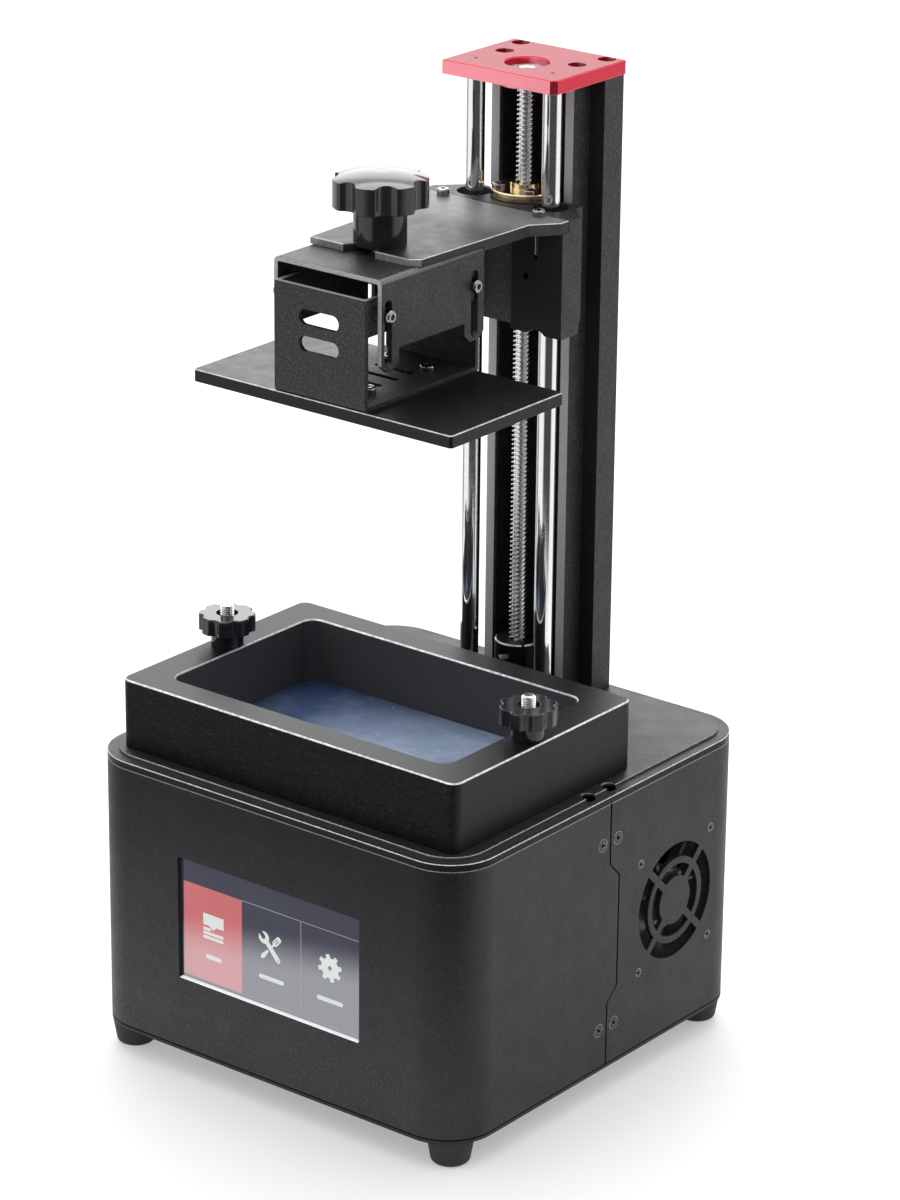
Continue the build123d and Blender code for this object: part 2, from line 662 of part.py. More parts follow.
# direction across the slit
CROSS_X_DIR, CROSS_Y_DIR = -SLIT_Y_DIR, SLIT_X_DIR
CLAMP_ALONG, CLAMP_ACROSS = 5.7, 3.4  # screw seats, from the coupler's axis
COUPLER_PLANES = [
    Plane(
        origin=(
            SLIT_X_DIR * CLAMP_ALONG - CROSS_X_DIR * CLAMP_ACROSS,
            SCREW_Y + SLIT_Y_DIR * CLAMP_ALONG - CROSS_Y_DIR * CLAMP_ACROSS,
            z,
        ),
        x_dir=(0, 0, 1),
        z_dir=(-CROSS_X_DIR, -CROSS_Y_DIR, 0),
    )
    for z in (144.7, 156.3)
]

with BuildPart() as coupler:
    with Locations((0, SCREW_Y, COUPLER_Z0)):
        Cylinder(radius=COUPLER_R, height=COUPLER_H, align=UP)
    chamfer(coupler.edges().filter_by(GeomType.CIRCLE), length=0.6)
    # shaft bore right through, wider screw bore from above
    with Locations((0, SCREW_Y, COUPLER_Z0)):
        Cylinder(radius=SHAFT_R + 0.02, height=30, align=UP, mode=Mode.SUBTRACT)
    with Locations((0, SCREW_Y, COUPLER_Z1)):
        Cylinder(radius=SCREW_R + 0.02, height=11.2, align=DOWN, mode=Mode.SUBTRACT)
    with BuildSketch(level_plane(COUPLER_Z0)):
        with Locations((SLIT_X_DIR * SLIT_L / 2, SCREW_Y + SLIT_Y_DIR * SLIT_L / 2)):
            Rectangle(SLIT_L, SLIT_W, rotation=SLIT_ANGLE)
    extrude(amount=COUPLER_H, mode=Mode.SUBTRACT)
    with Locations(*COUPLER_PLANES):
        Cylinder(radius=2.4, height=10, align=UP, mode=Mode.SUBTRACT)
        Cylinder(radius=1.3, height=9, align=DOWN, mode=Mode.SUBTRACT)
save(coupler, "coupler")

head_screws(
    "coupler_screws", COUPLER_PLANES,
    head_r=2.25, head_h=2.4, shank_r=1.25, length=8, socket_r=1.15, socket_depth=1.4,
)

Z_SCREW0, Z_SCREW1 = 150.5, 413.8

with BuildPart() as lead_screw:
    with Locations((0, SCREW_Y, Z_SCREW0)):
        Cylinder(radius=SCREW_R, height=Z_SCREW1 - Z_SCREW0, align=UP)
    chamfer(lead_screw.edges().filter_by(GeomType.CIRCLE), length=0.6)
save(lead_screw, "lead_screw")

# ---------------------------------------------------------- rods and column
CROWN_T, CROWN_X, CROWN_Y0, CROWN_Y1 = 6.0, 29.1, 47.2, 95.8
Z_CROWN_TOP = Z_COLUMN_TOP + CROWN_T
ROD_BASE_Y1, ROD_BASE_H = 70.5, 8
ROD_SEAT = 4  # depth of the rods' ends in the crown plate
# narrow front part, wider back part, and a channel open to the front
COLUMN_FRONT, COLUMN_STEP, COLUMN_BACK = 71.0, 82.0, 95.0
COLUMN_X1, COLUMN_X2 = 21.4, 28.9
CHANNEL_X, CHANNEL_BACK, CHANNEL_BEVEL = 16.2, 89.0, 0.9
# right half, from the channel floor round to the back: x, y
COLUMN_HALF = [
    (CHANNEL_X, CHANNEL_BACK),
    (CHANNEL_X, COLUMN_FRONT + CHANNEL_BEVEL),
    (CHANNEL_X + CHANNEL_BEVEL, COLUMN_FRONT),
    (COLUMN_X1, COLUMN_FRONT),
    (COLUMN_X1, COLUMN_STEP),
    (COLUMN_X2, COLUMN_STEP),
    (COLUMN_X2, COLUMN_BACK),
]

with BuildPart() as rod_base:
    with BuildSketch(level_plane(Z_DECK)):
        with Locations((0, (CROWN_Y0 + ROD_BASE_Y1) / 2)):
            Rectangle(2 * CROWN_X, ROD_BASE_Y1 - CROWN_Y0)
        with Locations((0, SCREW_Y)):
            Circle(11.8, mode=Mode.SUBTRACT)
        with Locations(*ROD_POINTS):
            Circle(ROD_FIT_R, mode=Mode.SUBTRACT)
    extrude(amount=ROD_BASE_H)
save(rod_base, "rod_base")

with BuildPart() as guide_rods:
    with Locations(*up_planes(Z_DECK, ROD_POINTS)):
        Cylinder(radius=ROD_R, height=Z_COLUMN_TOP + ROD_SEAT - Z_DECK, align=UP)
    chamfer(guide_rods.edges().filter_by(GeomType.CIRCLE), length=0.5)
save(guide_rods, "guide_rods")

with BuildPart() as column:
    with BuildSketch(level_plane(Z_DECK)):
        with BuildLine():
            Polyline(mirrored(COLUMN_HALF), close=True)
        make_face()
    extrude(amount=Z_COLUMN_TOP - Z_DECK)
    with Locations(*up_planes(Z_DECK, COLUMN_HOLES)):
        Cylinder(radius=M4_TAP, height=14, align=UP, mode=Mode.SUBTRACT)
    with Locations(*up_planes(Z_COLUMN_TOP, COLUMN_HOLES)):
        Cylinder(radius=M4_TAP, height=14, align=DOWN, mode=Mode.SUBTRACT)
save(column, "column")

BEARING_R, BEARING_H, BEARING_SEAT = 9.5, 5, 8
BEARING_FIT_R = BEARING_R + 0.02
Z_BEARING = Z_CROWN_TOP - BEARING_SEAT
CROWN_SINK = 4.6  # depth of the counterbores

with BuildPart() as crown_plate:
    with BuildSketch(level_plane(Z_COLUMN_TOP)):
        with Locations((0, (CROWN_Y0 + CROWN_Y1) / 2)):
            Rectangle(2 * CROWN_X, CROWN_Y1 - CROWN_Y0)
    extrude(amount=CROWN_T)
    # only the front right corner is cut off
    chamfer(
        crown_plate.edges()
        .filter_by(Axis.Z)
        .filter_by(lambda edge: edge.center().X > 0 and edge.center().Y < SCREW_Y),
        length=2.4,
    )
    chamfer(crown_plate.faces().sort_by(Axis.Z)[-1].edges(), length=0.4)
    # bearing housing below the plate
    with Locations((0, SCREW_Y, Z_COLUMN_TOP)):
        Cylinder(radius=11.6, height=3, align=DOWN)
    with Locations((0, SCREW_Y, Z_CROWN_TOP)):
        Cylinder(radius=BEARING_FIT_R, height=BEARING_SEAT, align=DOWN, mode=Mode.SUBTRACT)
        Cylinder(radius=8.0, height=20, align=DOWN, mode=Mode.SUBTRACT)
        Cone(
            bottom_radius=BEARING_FIT_R,
            top_radius=BEARING_FIT_R + 0.6,
            height=0.6,
            align=DOWN,
            mode=Mode.SUBTRACT,
        )
    with Locations(*up_planes(Z_CROWN_TOP, COLUMN_HOLES)):
        CounterBoreHole(
            radius=2.2, counter_bore_radius=3.9, counter_bore_depth=CROWN_SINK, depth=10
        )
    with Locations(*up_planes(Z_COLUMN_TOP, ROD_POINTS)):
        Cylinder(radius=ROD_FIT_R, height=ROD_SEAT, align=UP, mode=Mode.SUBTRACT)
        Cylinder(radius=0.9, height=10, align=UP, mode=Mode.SUBTRACT)
save(crown_plate, "crown_plate")

head_screws(
    "crown_screws", up_planes(Z_CROWN_TOP - CROWN_SINK, COLUMN_HOLES),
    head_r=3.5, head_h=2.4, shank_r=M4_SHANK, length=13, socket_r=1.6, socket_depth=1.6,
)

with BuildPart() as top_bearing:
    with Locations((0, SCREW_Y, Z_BEARING)):
        Cylinder(radius=BEARING_R, height=BEARING_H, align=UP)
    chamfer(top_bearing.edges().filter_by(GeomType.CIRCLE), length=0.4)
    with Locations((0, SCREW_Y, Z_BEARING)):
        Cylinder(radius=SCREW_SLIDE_R, height=BEARING_H, align=UP, mode=Mode.SUBTRACT)
    # recess between the inner and the outer race
    with BuildSketch(level_plane(Z_BEARING + BEARING_H, y=SCREW_Y)):
        Circle(7.9)
        Circle(5.6, mode=Mode.SUBTRACT)
    extrude(amount=-0.6, mode=Mode.SUBTRACT)
save(top_bearing, "top_bearing")

Z_LIMIT, LIMIT_Y, LIMIT_H = Z_DECK + ROD_BASE_H, 51.4, 4.4
Z_LEVER = Z_LIMIT + LIMIT_H

with BuildPart() as limit_switch:
    with BuildSketch(level_plane(Z_LIMIT, y=LIMIT_Y)):
        Rectangle(20, 6)
    extrude(amount=LIMIT_H)
    with BuildSketch(level_plane(Z_LEVER, 3, LIMIT_Y)):
        Rectangle(3, 2.4)
    extrude(amount=1.2)
    # lever, rising to the right
    with BuildSketch(front_plane(0, LIMIT_Y - 2, 0)):
        with BuildLine():
            Polyline(
                [
                    (-9, Z_LEVER),
                    (-8.4, Z_LEVER),
                    (-8.4, Z_LEVER + 0.6),
                    (9, Z_LEVER + 1.2),
                    (9, Z_LEVER + 1.6),
                    (-9, Z_LEVER + 1.0),
                ],
                close=True,
            )
        make_face()
    extrude(amount=-4)
save(limit_switch, "limit_switch")

# ------------------------------------------------------------------ carriage
# drawn at its resting height
Z_BLOCK0, Z_BLOCK1 = 309.5, 359.3
Z_ARM0, Z_ARM1 = 354.6, 359.6
Z_HANG = 356.6  # top of the platform hanger
Z_NUT_SEAT = 349.5
ARM_REAR = 46.4
ARM_HOLES = [(-25, 43.4), (25, 43.4)]
NUT_HOLES = four_points(8, 8, y=SCREW_Y)
KNOB_Y = -28.5
STUD_SLOT_R = 6.4
BLOCK_FRONT = 42.0
ARM_STEP_Y0, ARM_STEP_Y1 = 40.0, ARM_REAR + 0.1
BUSH_R, BUSH_L = 7.5, 45
# right half of the block, from its set-back web round to the back: x, y
BLOCK_HALF = [
    (12.4, 48.0),
    (12.4, BLOCK_FRONT),
    (38.5, BLOCK_FRONT),
    (38.5, 54.0),
    (29.0, 63.5),
    (29.0, 68.0),
]

with BuildPart() as carriage_block:
    # lower body: two bearing housings joined by the web
    with BuildSketch(level_plane(Z_BLOCK0)):
        with BuildLine():
            Polyline(mirrored(BLOCK_HALF), close=True)
        make_face()
    extrude(amount=Z_BLOCK1 - Z_BLOCK0)
    # tongue that carries the back of the nut inside the column channel
    with BuildSketch(level_plane(Z_NUT_SEAT, y=74.0)):
        Rectangle(26, 12)
    extrude(amount=Z_BLOCK1 - Z_NUT_SEAT)
    # step under the arm plate
    with BuildSketch(level_plane(Z_ARM0, y=(ARM_STEP_Y0 + ARM_STEP_Y1) / 2)):
        Rectangle(100, ARM_STEP_Y1 - ARM_STEP_Y0)
    extrude(amount=20, mode=Mode.SUBTRACT)
    # channel for the coupler below the nut seat
    with BuildSketch(level_plane(Z_BLOCK0, y=71.0)):
        Rectangle(21.2, 30)
    extrude(amount=Z_NUT_SEAT - Z_BLOCK0, mode=Mode.SUBTRACT)
    with Locations(*up_planes(Z_BLOCK0, ROD_POINTS)):
        Cylinder(radius=BUSH_R + 0.02, height=60, align=UP, mode=Mode.SUBTRACT)
    with Locations((0, SCREW_Y, Z_BLOCK0)):
        Cylinder(radius=5.25, height=60, align=UP, mode=Mode.SUBTRACT)
    with Locations(*up_planes(Z_BLOCK1, NUT_HOLES)):
        Cylinder(radius=M3_TAP, height=8, align=DOWN, mode=Mode.SUBTRACT)
    with Locations(*up_planes(Z_ARM0, ARM_HOLES)):
        Cylinder(radius=M3_TAP, height=13, align=DOWN, mode=Mode.SUBTRACT)
    # grease holes in line with the rods, shallow reliefs in the lower edge
    with Locations(*[front_plane(x, BLOCK_FRONT, 333.5) for x in (-ROD_X, ROD_X)]):
        Cylinder(radius=1.5, height=7, align=DOWN, mode=Mode.SUBTRACT)
    with Locations(*[front_plane(x, BLOCK_FRONT, Z_BLOCK0 - 4.0) for x in (-25.5, 25.5)]):
        Cylinder(radius=6.0, height=5, align=DOWN, mode=Mode.SUBTRACT)
save(carriage_block, "carriage_block")

with BuildPart() as linear_bearings:
    with Locations(*up_planes(Z_BLOCK0 + 1.0, ROD_POINTS)):
        Cylinder(radius=BUSH_R, height=BUSH_L, align=UP)
        Cylinder(radius=ROD_R + 0.05, height=BUSH_L, align=UP, mode=Mode.SUBTRACT)
save(linear_bearings, "linear_bearings")

FLANGE_R, FLANGE_T = 14.7, 3.6

with BuildPart() as lead_nut:
    with Locations((0, SCREW_Y, Z_BLOCK1)):
        Cylinder(radius=FLANGE_R, height=FLANGE_T, align=UP)
    chamfer(lead_nut.edges().filter_by(GeomType.CIRCLE), length=0.4)
    with Locations((0, SCREW_Y, Z_BLOCK1)):
        Cylinder(radius=6.2, height=FLANGE_T + 2.2, align=UP)
        Cylinder(radius=5.2, height=13, align=DOWN)
    with Locations((0, SCREW_Y, Z_BLOCK1 - 20)):
        Cylinder(radius=SCREW_SLIDE_R, height=60, align=UP, mode=Mode.SUBTRACT)
    with Locations(*up_planes(Z_BLOCK1, NUT_HOLES)):
        Cylinder(radius=1.65, height=10, align=UP, mode=Mode.SUBTRACT)
save(lead_nut, "lead_nut")

head_screws(
    "nut_screws", up_planes(Z_BLOCK1 + FLANGE_T, NUT_HOLES),
    head_r=2.75, head_h=1.9, shank_r=M3_SHANK, length=10, socket_r=1.1, socket_depth=1.1,
    rim_round=0.9,
)

# ----------------------------------------------------------------- arm plate
SHEET = 2.0  # thickness of both brackets
HANGER_X, HANGER_Y0, HANGER_Y1 = 27.8, -61.4, 4.0
ARM_SEAT_Y0, ARM_SEAT_Y1 = -50, HANGER_Y1 + 0.2

# seen from above; the front right corner is cut off: x, y
ARM_OUTLINE = [
    (-27.4, -39.4), (23.4, -39.4), (27.5, -36.2), (29.8, 30.8), (38.4, 41.4),
    (38.4, ARM_REAR), (-38.4, ARM_REAR), (-38.4, 41.4), (-29.8, 30.8),
]
# widening on the left of the slot's mouth: x, y
SLOT_MOUTH = [(-6.0, -34.4), (-6.4, -34.4), (-10.2, -39.4), (-10.2, -42), (-6.0, -42)]

with BuildPart() as arm_plate:
    with BuildSketch(level_plane(Z_ARM0)):
        with BuildLine():
            Polyline(ARM_OUTLINE, close=True)
        make_face()
        # slot for the clamp stud, open to the front
        with Locations((0, KNOB_Y)):
            Circle(STUD_SLOT_R, mode=Mode.SUBTRACT)
        with Locations((0, KNOB_Y - 10)):
            Rectangle(2 * STUD_SLOT_R, 20, mode=Mode.SUBTRACT)
        with BuildLine():
            Polyline(SLOT_MOUTH, close=True)
        make_face(mode=Mode.SUBTRACT)
        with Locations(*ARM_HOLES):
            Circle(1.65, mode=Mode.SUBTRACT)
    extrude(amount=Z_ARM1 - Z_ARM0)
    # seat for the hanger, milled from below
    with BuildSketch(level_plane(Z_ARM0, y=(ARM_SEAT_Y0 + ARM_SEAT_Y1) / 2)):
        Rectangle(80, ARM_SEAT_Y1 - ARM_SEAT_Y0)
    extrude(amount=Z_HANG - Z_ARM0, mode=Mode.SUBTRACT)
    chamfer(arm_plate.faces().sort_by(Axis.Z)[-1].outer_wire().edges(), length=0.35)
save(arm_plate, "arm_plate")

head_screws(
    "arm_screws", up_planes(Z_ARM1, ARM_HOLES),
    head_r=2.7, head_h=3.0, shank_r=M3_SHANK, length=16, socket_r=1.3, socket_depth=1.6,
    rim_round=1.0,
)

# ----------------------------------------------------------- platform hanger
LEVEL_Y, LEVEL_Z = (-57.2, -2.2), 341.0
LEVEL_YZ = [(y, LEVEL_Z) for y in LEVEL_Y]
LEVEL_PLANES = [
    plane for side in (-1, 1) for plane in side_planes(side, HANGER_X, LEVEL_YZ)
]
LEG_FRONT_W, LEG_REAR_W, LEG_BEVEL_Y, LEG_BEVEL_Z = 11.0, 12.6, 3.5, 3
Z_LEG, Z_SIDE = 318.0, 326.5  # ends of the legs, edge of the side between them
HANGER_IN_X, Z_HANG_IN = HANGER_X - SHEET, Z_HANG - SHEET
STUD_CLAMP_R = 4.0

with BuildPart() as upper_bracket:
    # inverted U, seen from the front
    with BuildSketch(Plane.XZ.offset(-HANGER_Y1)):
        with BuildLine():
            Polyline(
                mirrored(
                    [
                        (HANGER_X, Z_HANG),
                        (HANGER_X, Z_LEG - 1),
                        (HANGER_IN_X, Z_LEG - 1),
                        (HANGER_IN_X, Z_HANG_IN),
                    ]
                ),
                close=True,
            )
        make_face()
    extrude(amount=HANGER_Y1 - HANGER_Y0)
    fillet(
        upper_bracket.edges().filter_by(Axis.Y).filter_by(
            lambda edge: edge.center().Z > Z_HANG - 0.1
        ),
        radius=2.6,
    )
    fillet(
        upper_bracket.edges().filter_by(Axis.Y).filter_by(
            lambda edge: abs(edge.center().Z - Z_HANG_IN) < 0.1
        ),
        radius=0.7,
    )
    # sides: two legs each, with bevelled ends
    with BuildSketch(Plane.YZ.offset(-HANGER_X - 5)):
        gap_y0, gap_y1 = HANGER_Y0 + LEG_FRONT_W, HANGER_Y1 - LEG_REAR_W
        with Locations(((gap_y0 + gap_y1) / 2, Z_SIDE - 10)):
            Rectangle(gap_y1 - gap_y0, 20)
        for edge_y, way, width in ((HANGER_Y0, 1, LEG_FRONT_W), (HANGER_Y1, -1, LEG_REAR_W)):
            with BuildLine():
                Polyline(
                    [
                        (edge_y - way * 3, Z_LEG + LEG_BEVEL_Z),
                        (edge_y, Z_LEG + LEG_BEVEL_Z),
                        (edge_y + way * LEG_BEVEL_Y, Z_LEG),
                        (edge_y + way * (width - LEG_BEVEL_Y), Z_LEG),
                        (edge_y + way * width, Z_LEG + LEG_BEVEL_Z),
                        (edge_y + way * (width + 3), Z_LEG + LEG_BEVEL_Z),
                        (edge_y + way * (width + 3), Z_LEG - 6),
                        (edge_y - way * 3, Z_LEG - 6),
                    ],
                    close=True,
                )
            make_face()
    extrude(amount=2 * HANGER_X + 10, mode=Mode.SUBTRACT)
    # levelling slots
    with BuildSketch(Plane.YZ.offset(-HANGER_X - 5)):
        with Locations(*[(y, 333.5) for y in LEVEL_Y]):
            SlotOverall(28.0, 4.4, rotation=90)
    extrude(amount=2 * HANGER_X + 10, mode=Mode.SUBTRACT)
    with Locations((0, KNOB_Y, Z_HANG)):
        Cylinder(radius=STUD_CLAMP_R + 0.05, height=10, align=DOWN, mode=Mode.SUBTRACT)
save(upper_bracket, "upper_bracket")

with BuildPart() as clamp_stud:
    with Locations((0, KNOB_Y, Z_HANG_IN)):
        Cylinder(radius=STUD_CLAMP_R, height=26.8, align=UP)
    chamfer(clamp_stud.edges().group_by(Axis.Z)[-1], length=0.6)
    with BuildSketch(level_plane(Z_HANG_IN, y=KNOB_Y)):
        RegularPolygon(radius=7.2, side_count=6)
    extrude(amount=-4)
save(clamp_stud, "clamp_stud")

KNOB_R, KNOB_HUB_R = 19.6, 10.9
# underside of the grip, rim and crest of its domed top
Z_GRIP, Z_GRIP_RIM, Z_GRIP_TOP = 375.5, 386.4, 389.8
DOME_R = KNOB_R + 0.5

with BuildPart() as clamp_knob:
    # grip with seven finger hollows
    with BuildSketch(level_plane(Z_GRIP, y=KNOB_Y)):
        Circle(KNOB_R)
        with PolarLocations(KNOB_R + 2.2, 7, start_angle=8):
            Circle(5.2, mode=Mode.SUBTRACT)
    extrude(amount=Z_GRIP_TOP - Z_GRIP)
    fillet(clamp_knob.edges().filter_by(Axis.Z), radius=2.0)
    # domed top
    with BuildSketch(Plane.XZ.offset(-KNOB_Y)):
        with BuildLine():
            Line((0, Z_GRIP), (0, Z_GRIP_TOP))
            ThreePointArc(
                (0, Z_GRIP_TOP), (KNOB_R * 0.55, Z_GRIP_TOP - 0.8), (DOME_R, Z_GRIP_RIM)
            )
            Line((DOME_R, Z_GRIP_RIM), (DOME_R, Z_GRIP))
            Line((DOME_R, Z_GRIP), (0, Z_GRIP))
        make_face()
    revolve(axis=Axis((0, KNOB_Y, 0), (0, 0, 1)), mode=Mode.INTERSECT)
    with Locations((0, KNOB_Y, Z_ARM1)):
        Cylinder(radius=KNOB_HUB_R, height=Z_GRIP - Z_ARM1, align=UP)
    # moulding pockets round the foot of the hub
    with BuildSketch(level_plane(Z_ARM1, y=KNOB_Y)):
        with PolarLocations(8.3, 6, start_angle=20):
            Circle(2.1)
    extrude(amount=9, mode=Mode.SUBTRACT)
    with Locations((0, KNOB_Y, Z_ARM1)):
        Cylinder(radius=STUD_CLAMP_R + 0.05, height=22.5, align=UP, mode=Mode.SUBTRACT)
save(clamp_knob, "clamp_knob")

# ------------------------------------------------------------ build platform
PLATE_X, PLATE_Y0, PLATE_Y1 = 67.2, -66.4, 6.4
Z_PLATE0, Z_PLATE1 = 296.9, 302.1
PLATE_HOLES = [(x, y) for x in (-10.3, 10.3) for y in (-10.4, -48.2)]
LOWER_X, LOWER_Y0, LOWER_Y1 = 23.5, -66.3, 6.4
Z_TAB0, Z_TAB1, TAB_W = 333.0, 348.4, 14.8
TAB_H, TAB_MID = Z_TAB1 - Z_TAB0, (Z_TAB0 + Z_TAB1) / 2

with BuildPart() as lower_bracket:
    # upright U, seen from the side
    with BuildSketch(Plane.YZ.offset(-LOWER_X)):
        with BuildLine():
            Polyline(
                [
                    (LOWER_Y0, Z_TAB1),
                    (LOWER_Y0, Z_PLATE1),
                    (LOWER_Y1, Z_PLATE1),
                    (LOWER_Y1, Z_TAB1),
                    (LOWER_Y1 - SHEET, Z_TAB1),
                    (LOWER_Y1 - SHEET, Z_PLATE1 + SHEET),
                    (LOWER_Y0 + SHEET, Z_PLATE1 + SHEET),
                    (LOWER_Y0 + SHEET, Z_TAB1),
                ],
                close=True,
            )
        make_face()
    extrude(amount=2 * LOWER_X)
    fillet(
        lower_bracket.edges().filter_by(Axis.X).filter_by(
            lambda edge: edge.center().Z < Z_PLATE1 + 0.1
        ),
        radius=1.6,
    )
    # tabs folded in from the walls, with clinch nuts for the level screws
    with BuildSketch(*[Plane.YZ.offset(x) for x in (-LOWER_X, LOWER_X - SHEET)]):
        for wall_y, way in ((LOWER_Y0, 1), (LOWER_Y1, -1)):
            with Locations((wall_y + way * TAB_W / 2, TAB_MID)):
                RectangleRounded(TAB_W, TAB_H, 1.5)
            with Locations((wall_y + way * 2, TAB_MID)):
                Rectangle(4, TAB_H)
    extrude(amount=SHEET)
    with Locations(
        *[plane for side in (-1, 1) for plane in side_planes(side, LOWER_X, LEVEL_YZ)]
    ):
        Cylinder(radius=3.6, height=HANGER_IN_X - 0.1 - LOWER_X, align=UP)
    with Locations(*LEVEL_PLANES):
        Cylinder(radius=M4_TAP, height=12, align=DOWN, mode=Mode.SUBTRACT)
    # two long windows in the front wall
    with BuildSketch(Plane.XZ.offset(-LOWER_Y0 + 1)):
        with Locations((-0.4, 335.9), (-0.4, 324.8)):
            SlotOverall(20.6, 6.5)
    extrude(amount=-6, mode=Mode.SUBTRACT)
    # three adjusting slots and four screw holes in the floor
    with BuildSketch(level_plane(Z_PLATE1)):
        with Locations((0, -18.6), (0, -29.2), (0, -39.8)):
            SlotOverall(20.4, 3.0)
        with Locations(*PLATE_HOLES):
            Circle(2.2)
    extrude(amount=SHEET, mode=Mode.SUBTRACT)
save(lower_bracket, "lower_bracket")

head_screws(
    "level_screws", LEVEL_PLANES,
    head_r=2.8, head_h=2.3, shank_r=M4_SHANK, length=7.2, socket_r=1.35, socket_depth=1.4,
    rim_round=1.0,
)

with BuildPart() as build_plate:
    with BuildSketch(level_plane(Z_PLATE0, y=(PLATE_Y0 + PLATE_Y1) / 2)):
        Rectangle(2 * PLATE_X, PLATE_Y1 - PLATE_Y0)
    extrude(amount=Z_PLATE1 - Z_PLATE0)
    chamfer(build_plate.edges().filter_by(Axis.Z), length=1.0)
    chamfer(build_plate.faces().sort_by(Axis.Z)[-1].edges(), length=0.4)
    with Locations(*up_planes(Z_PLATE1, PLATE_HOLES)):
        Cylinder(radius=M4_TAP, height=4.2, align=DOWN, mode=Mode.SUBTRACT)
save(build_plate, "build_plate")

head_screws(
    "plate_screws", up_planes(Z_PLATE1 + SHEET, PLATE_HOLES),
    head_r=3.2, head_h=2.2, shank_r=M4_SHANK, length=6.0, socket_r=1.4, socket_depth=1.3,
    rim_round=1.0,
)

# ----------------------------------------------------------------------- vat
VAT_X, VAT_Y0, VAT_Y1, VAT_H = 89.2, -89.4, 29.2, 30.5
Z_VAT_TOP = Z_DECK + VAT_H
# opening in the vat frame
POOL_X, POOL_Y0, POOL_Y1 = 73.4, -76.0, 15.6
POOL_W, POOL_D, POOL_MID = 2 * POOL_X, POOL_Y1 - POOL_Y0, (POOL_Y0 + POOL_Y1) / 2
# film and the ring that clamps it from below
RING_W = POOL_W + 2 * 3.5
RING_D = POOL_D + 2 * 4.6
RING_CORNER, RING_T = 8, 2.0
Z_FILM0, FILM_T = 139.4, 0.3
Z_FILM1, Z_RING0 = Z_FILM0 + FILM_T, Z_FILM0 - RING_T
FILM_HOLES = [
    (x, y) for y in (POOL_Y0 - 2.3, POOL_Y1 + 2.3) for x in (-58, -29, 0, 29, 58)
] + [(x, y) for x in (-POOL_X - 1.75, POOL_X + 1.75) for y in (-60, -30, 0)]
FILM_HOLE_R = 1.15

with BuildPart() as vat_frame:
    with BuildSketch(level_plane(Z_DECK)):
        with Locations((0, (VAT_Y0 + VAT_Y1) / 2)):
            RectangleRounded(2 * VAT_X, VAT_Y1 - VAT_Y0, 4.5)
        with Locations((0, POOL_MID)):
            RectangleRounded(POOL_W, POOL_D, 6.0, mode=Mode.SUBTRACT)
    extrude(amount=VAT_H)
    chamfer(vat_frame.faces().sort_by(Axis.Z)[-1].edges(), length=0.6)
    # seat for the film and its clamping ring
    with BuildSketch(level_plane(Z_DECK, y=POOL_MID)):
        RectangleRounded(RING_W + 0.2, RING_D + 0.2, RING_CORNER)
    extrude(amount=Z_FILM1 - Z_DECK, mode=Mode.SUBTRACT)
    with Locations(*up_planes(Z_FILM1, FILM_HOLES)):
        Cylinder(radius=1.05, height=6, align=UP, mode=Mode.SUBTRACT)
    with Locations(*up_planes(Z_DECK, STUDS)):
        Cylinder(radius=3.4, height=VAT_H, align=UP, mode=Mode.SUBTRACT)
save(vat_frame, "vat_frame")

with BuildPart() as vat_film:
    with BuildSketch(level_plane(Z_FILM0)):
        with Locations((0, POOL_MID)):
            RectangleRounded(RING_W, RING_D, RING_CORNER)
        with Locations(*FILM_HOLES):
            Circle(FILM_HOLE_R, mode=Mode.SUBTRACT)
    extrude(amount=FILM_T)
save(vat_film, "vat_film")

with BuildPart() as film_ring:
    with BuildSketch(level_plane(Z_RING0, y=POOL_MID)):
        RectangleRounded(RING_W, RING_D, RING_CORNER)
        RectangleRounded(POOL_W - 0.4, POOL_D - 0.4, 6, mode=Mode.SUBTRACT)
    extrude(amount=RING_T)
    with Locations(*down_planes(Z_RING0, FILM_HOLES)):
        sink_hole(FILM_HOLE_R, 1.5)
save(film_ring, "film_ring")

# slotted countersunk screws, heads down
with BuildPart() as film_screws:
    with Locations(*down_planes(Z_RING0, FILM_HOLES)):
        Cone(bottom_radius=1.0, top_radius=1.45, height=0.45, align=DOWN)
        Cylinder(radius=1.0, height=6.5, align=DOWN)
    with BuildSketch(*down_planes(Z_RING0, FILM_HOLES)):
        Rectangle(1.9, 0.4)
    extrude(amount=-0.4, mode=Mode.SUBTRACT)
save(film_screws, "film_screws")

with BuildPart() as vat_studs:
    with Locations(*up_planes(Z_TOP, STUDS)):
        Cylinder(radius=STUD_R, height=186.2 - Z_TOP, align=UP)
    chamfer(vat_studs.edges().group_by(Axis.Z)[-1], length=0.8)
save(vat_studs, "vat_studs")

VAT_KNOB_R, VAT_HUB_R, VAT_HUB_H, VAT_GRIP_H = 12.1, 7.0, 7.0, 7.2
Z_VAT_GRIP = Z_VAT_TOP + VAT_HUB_H


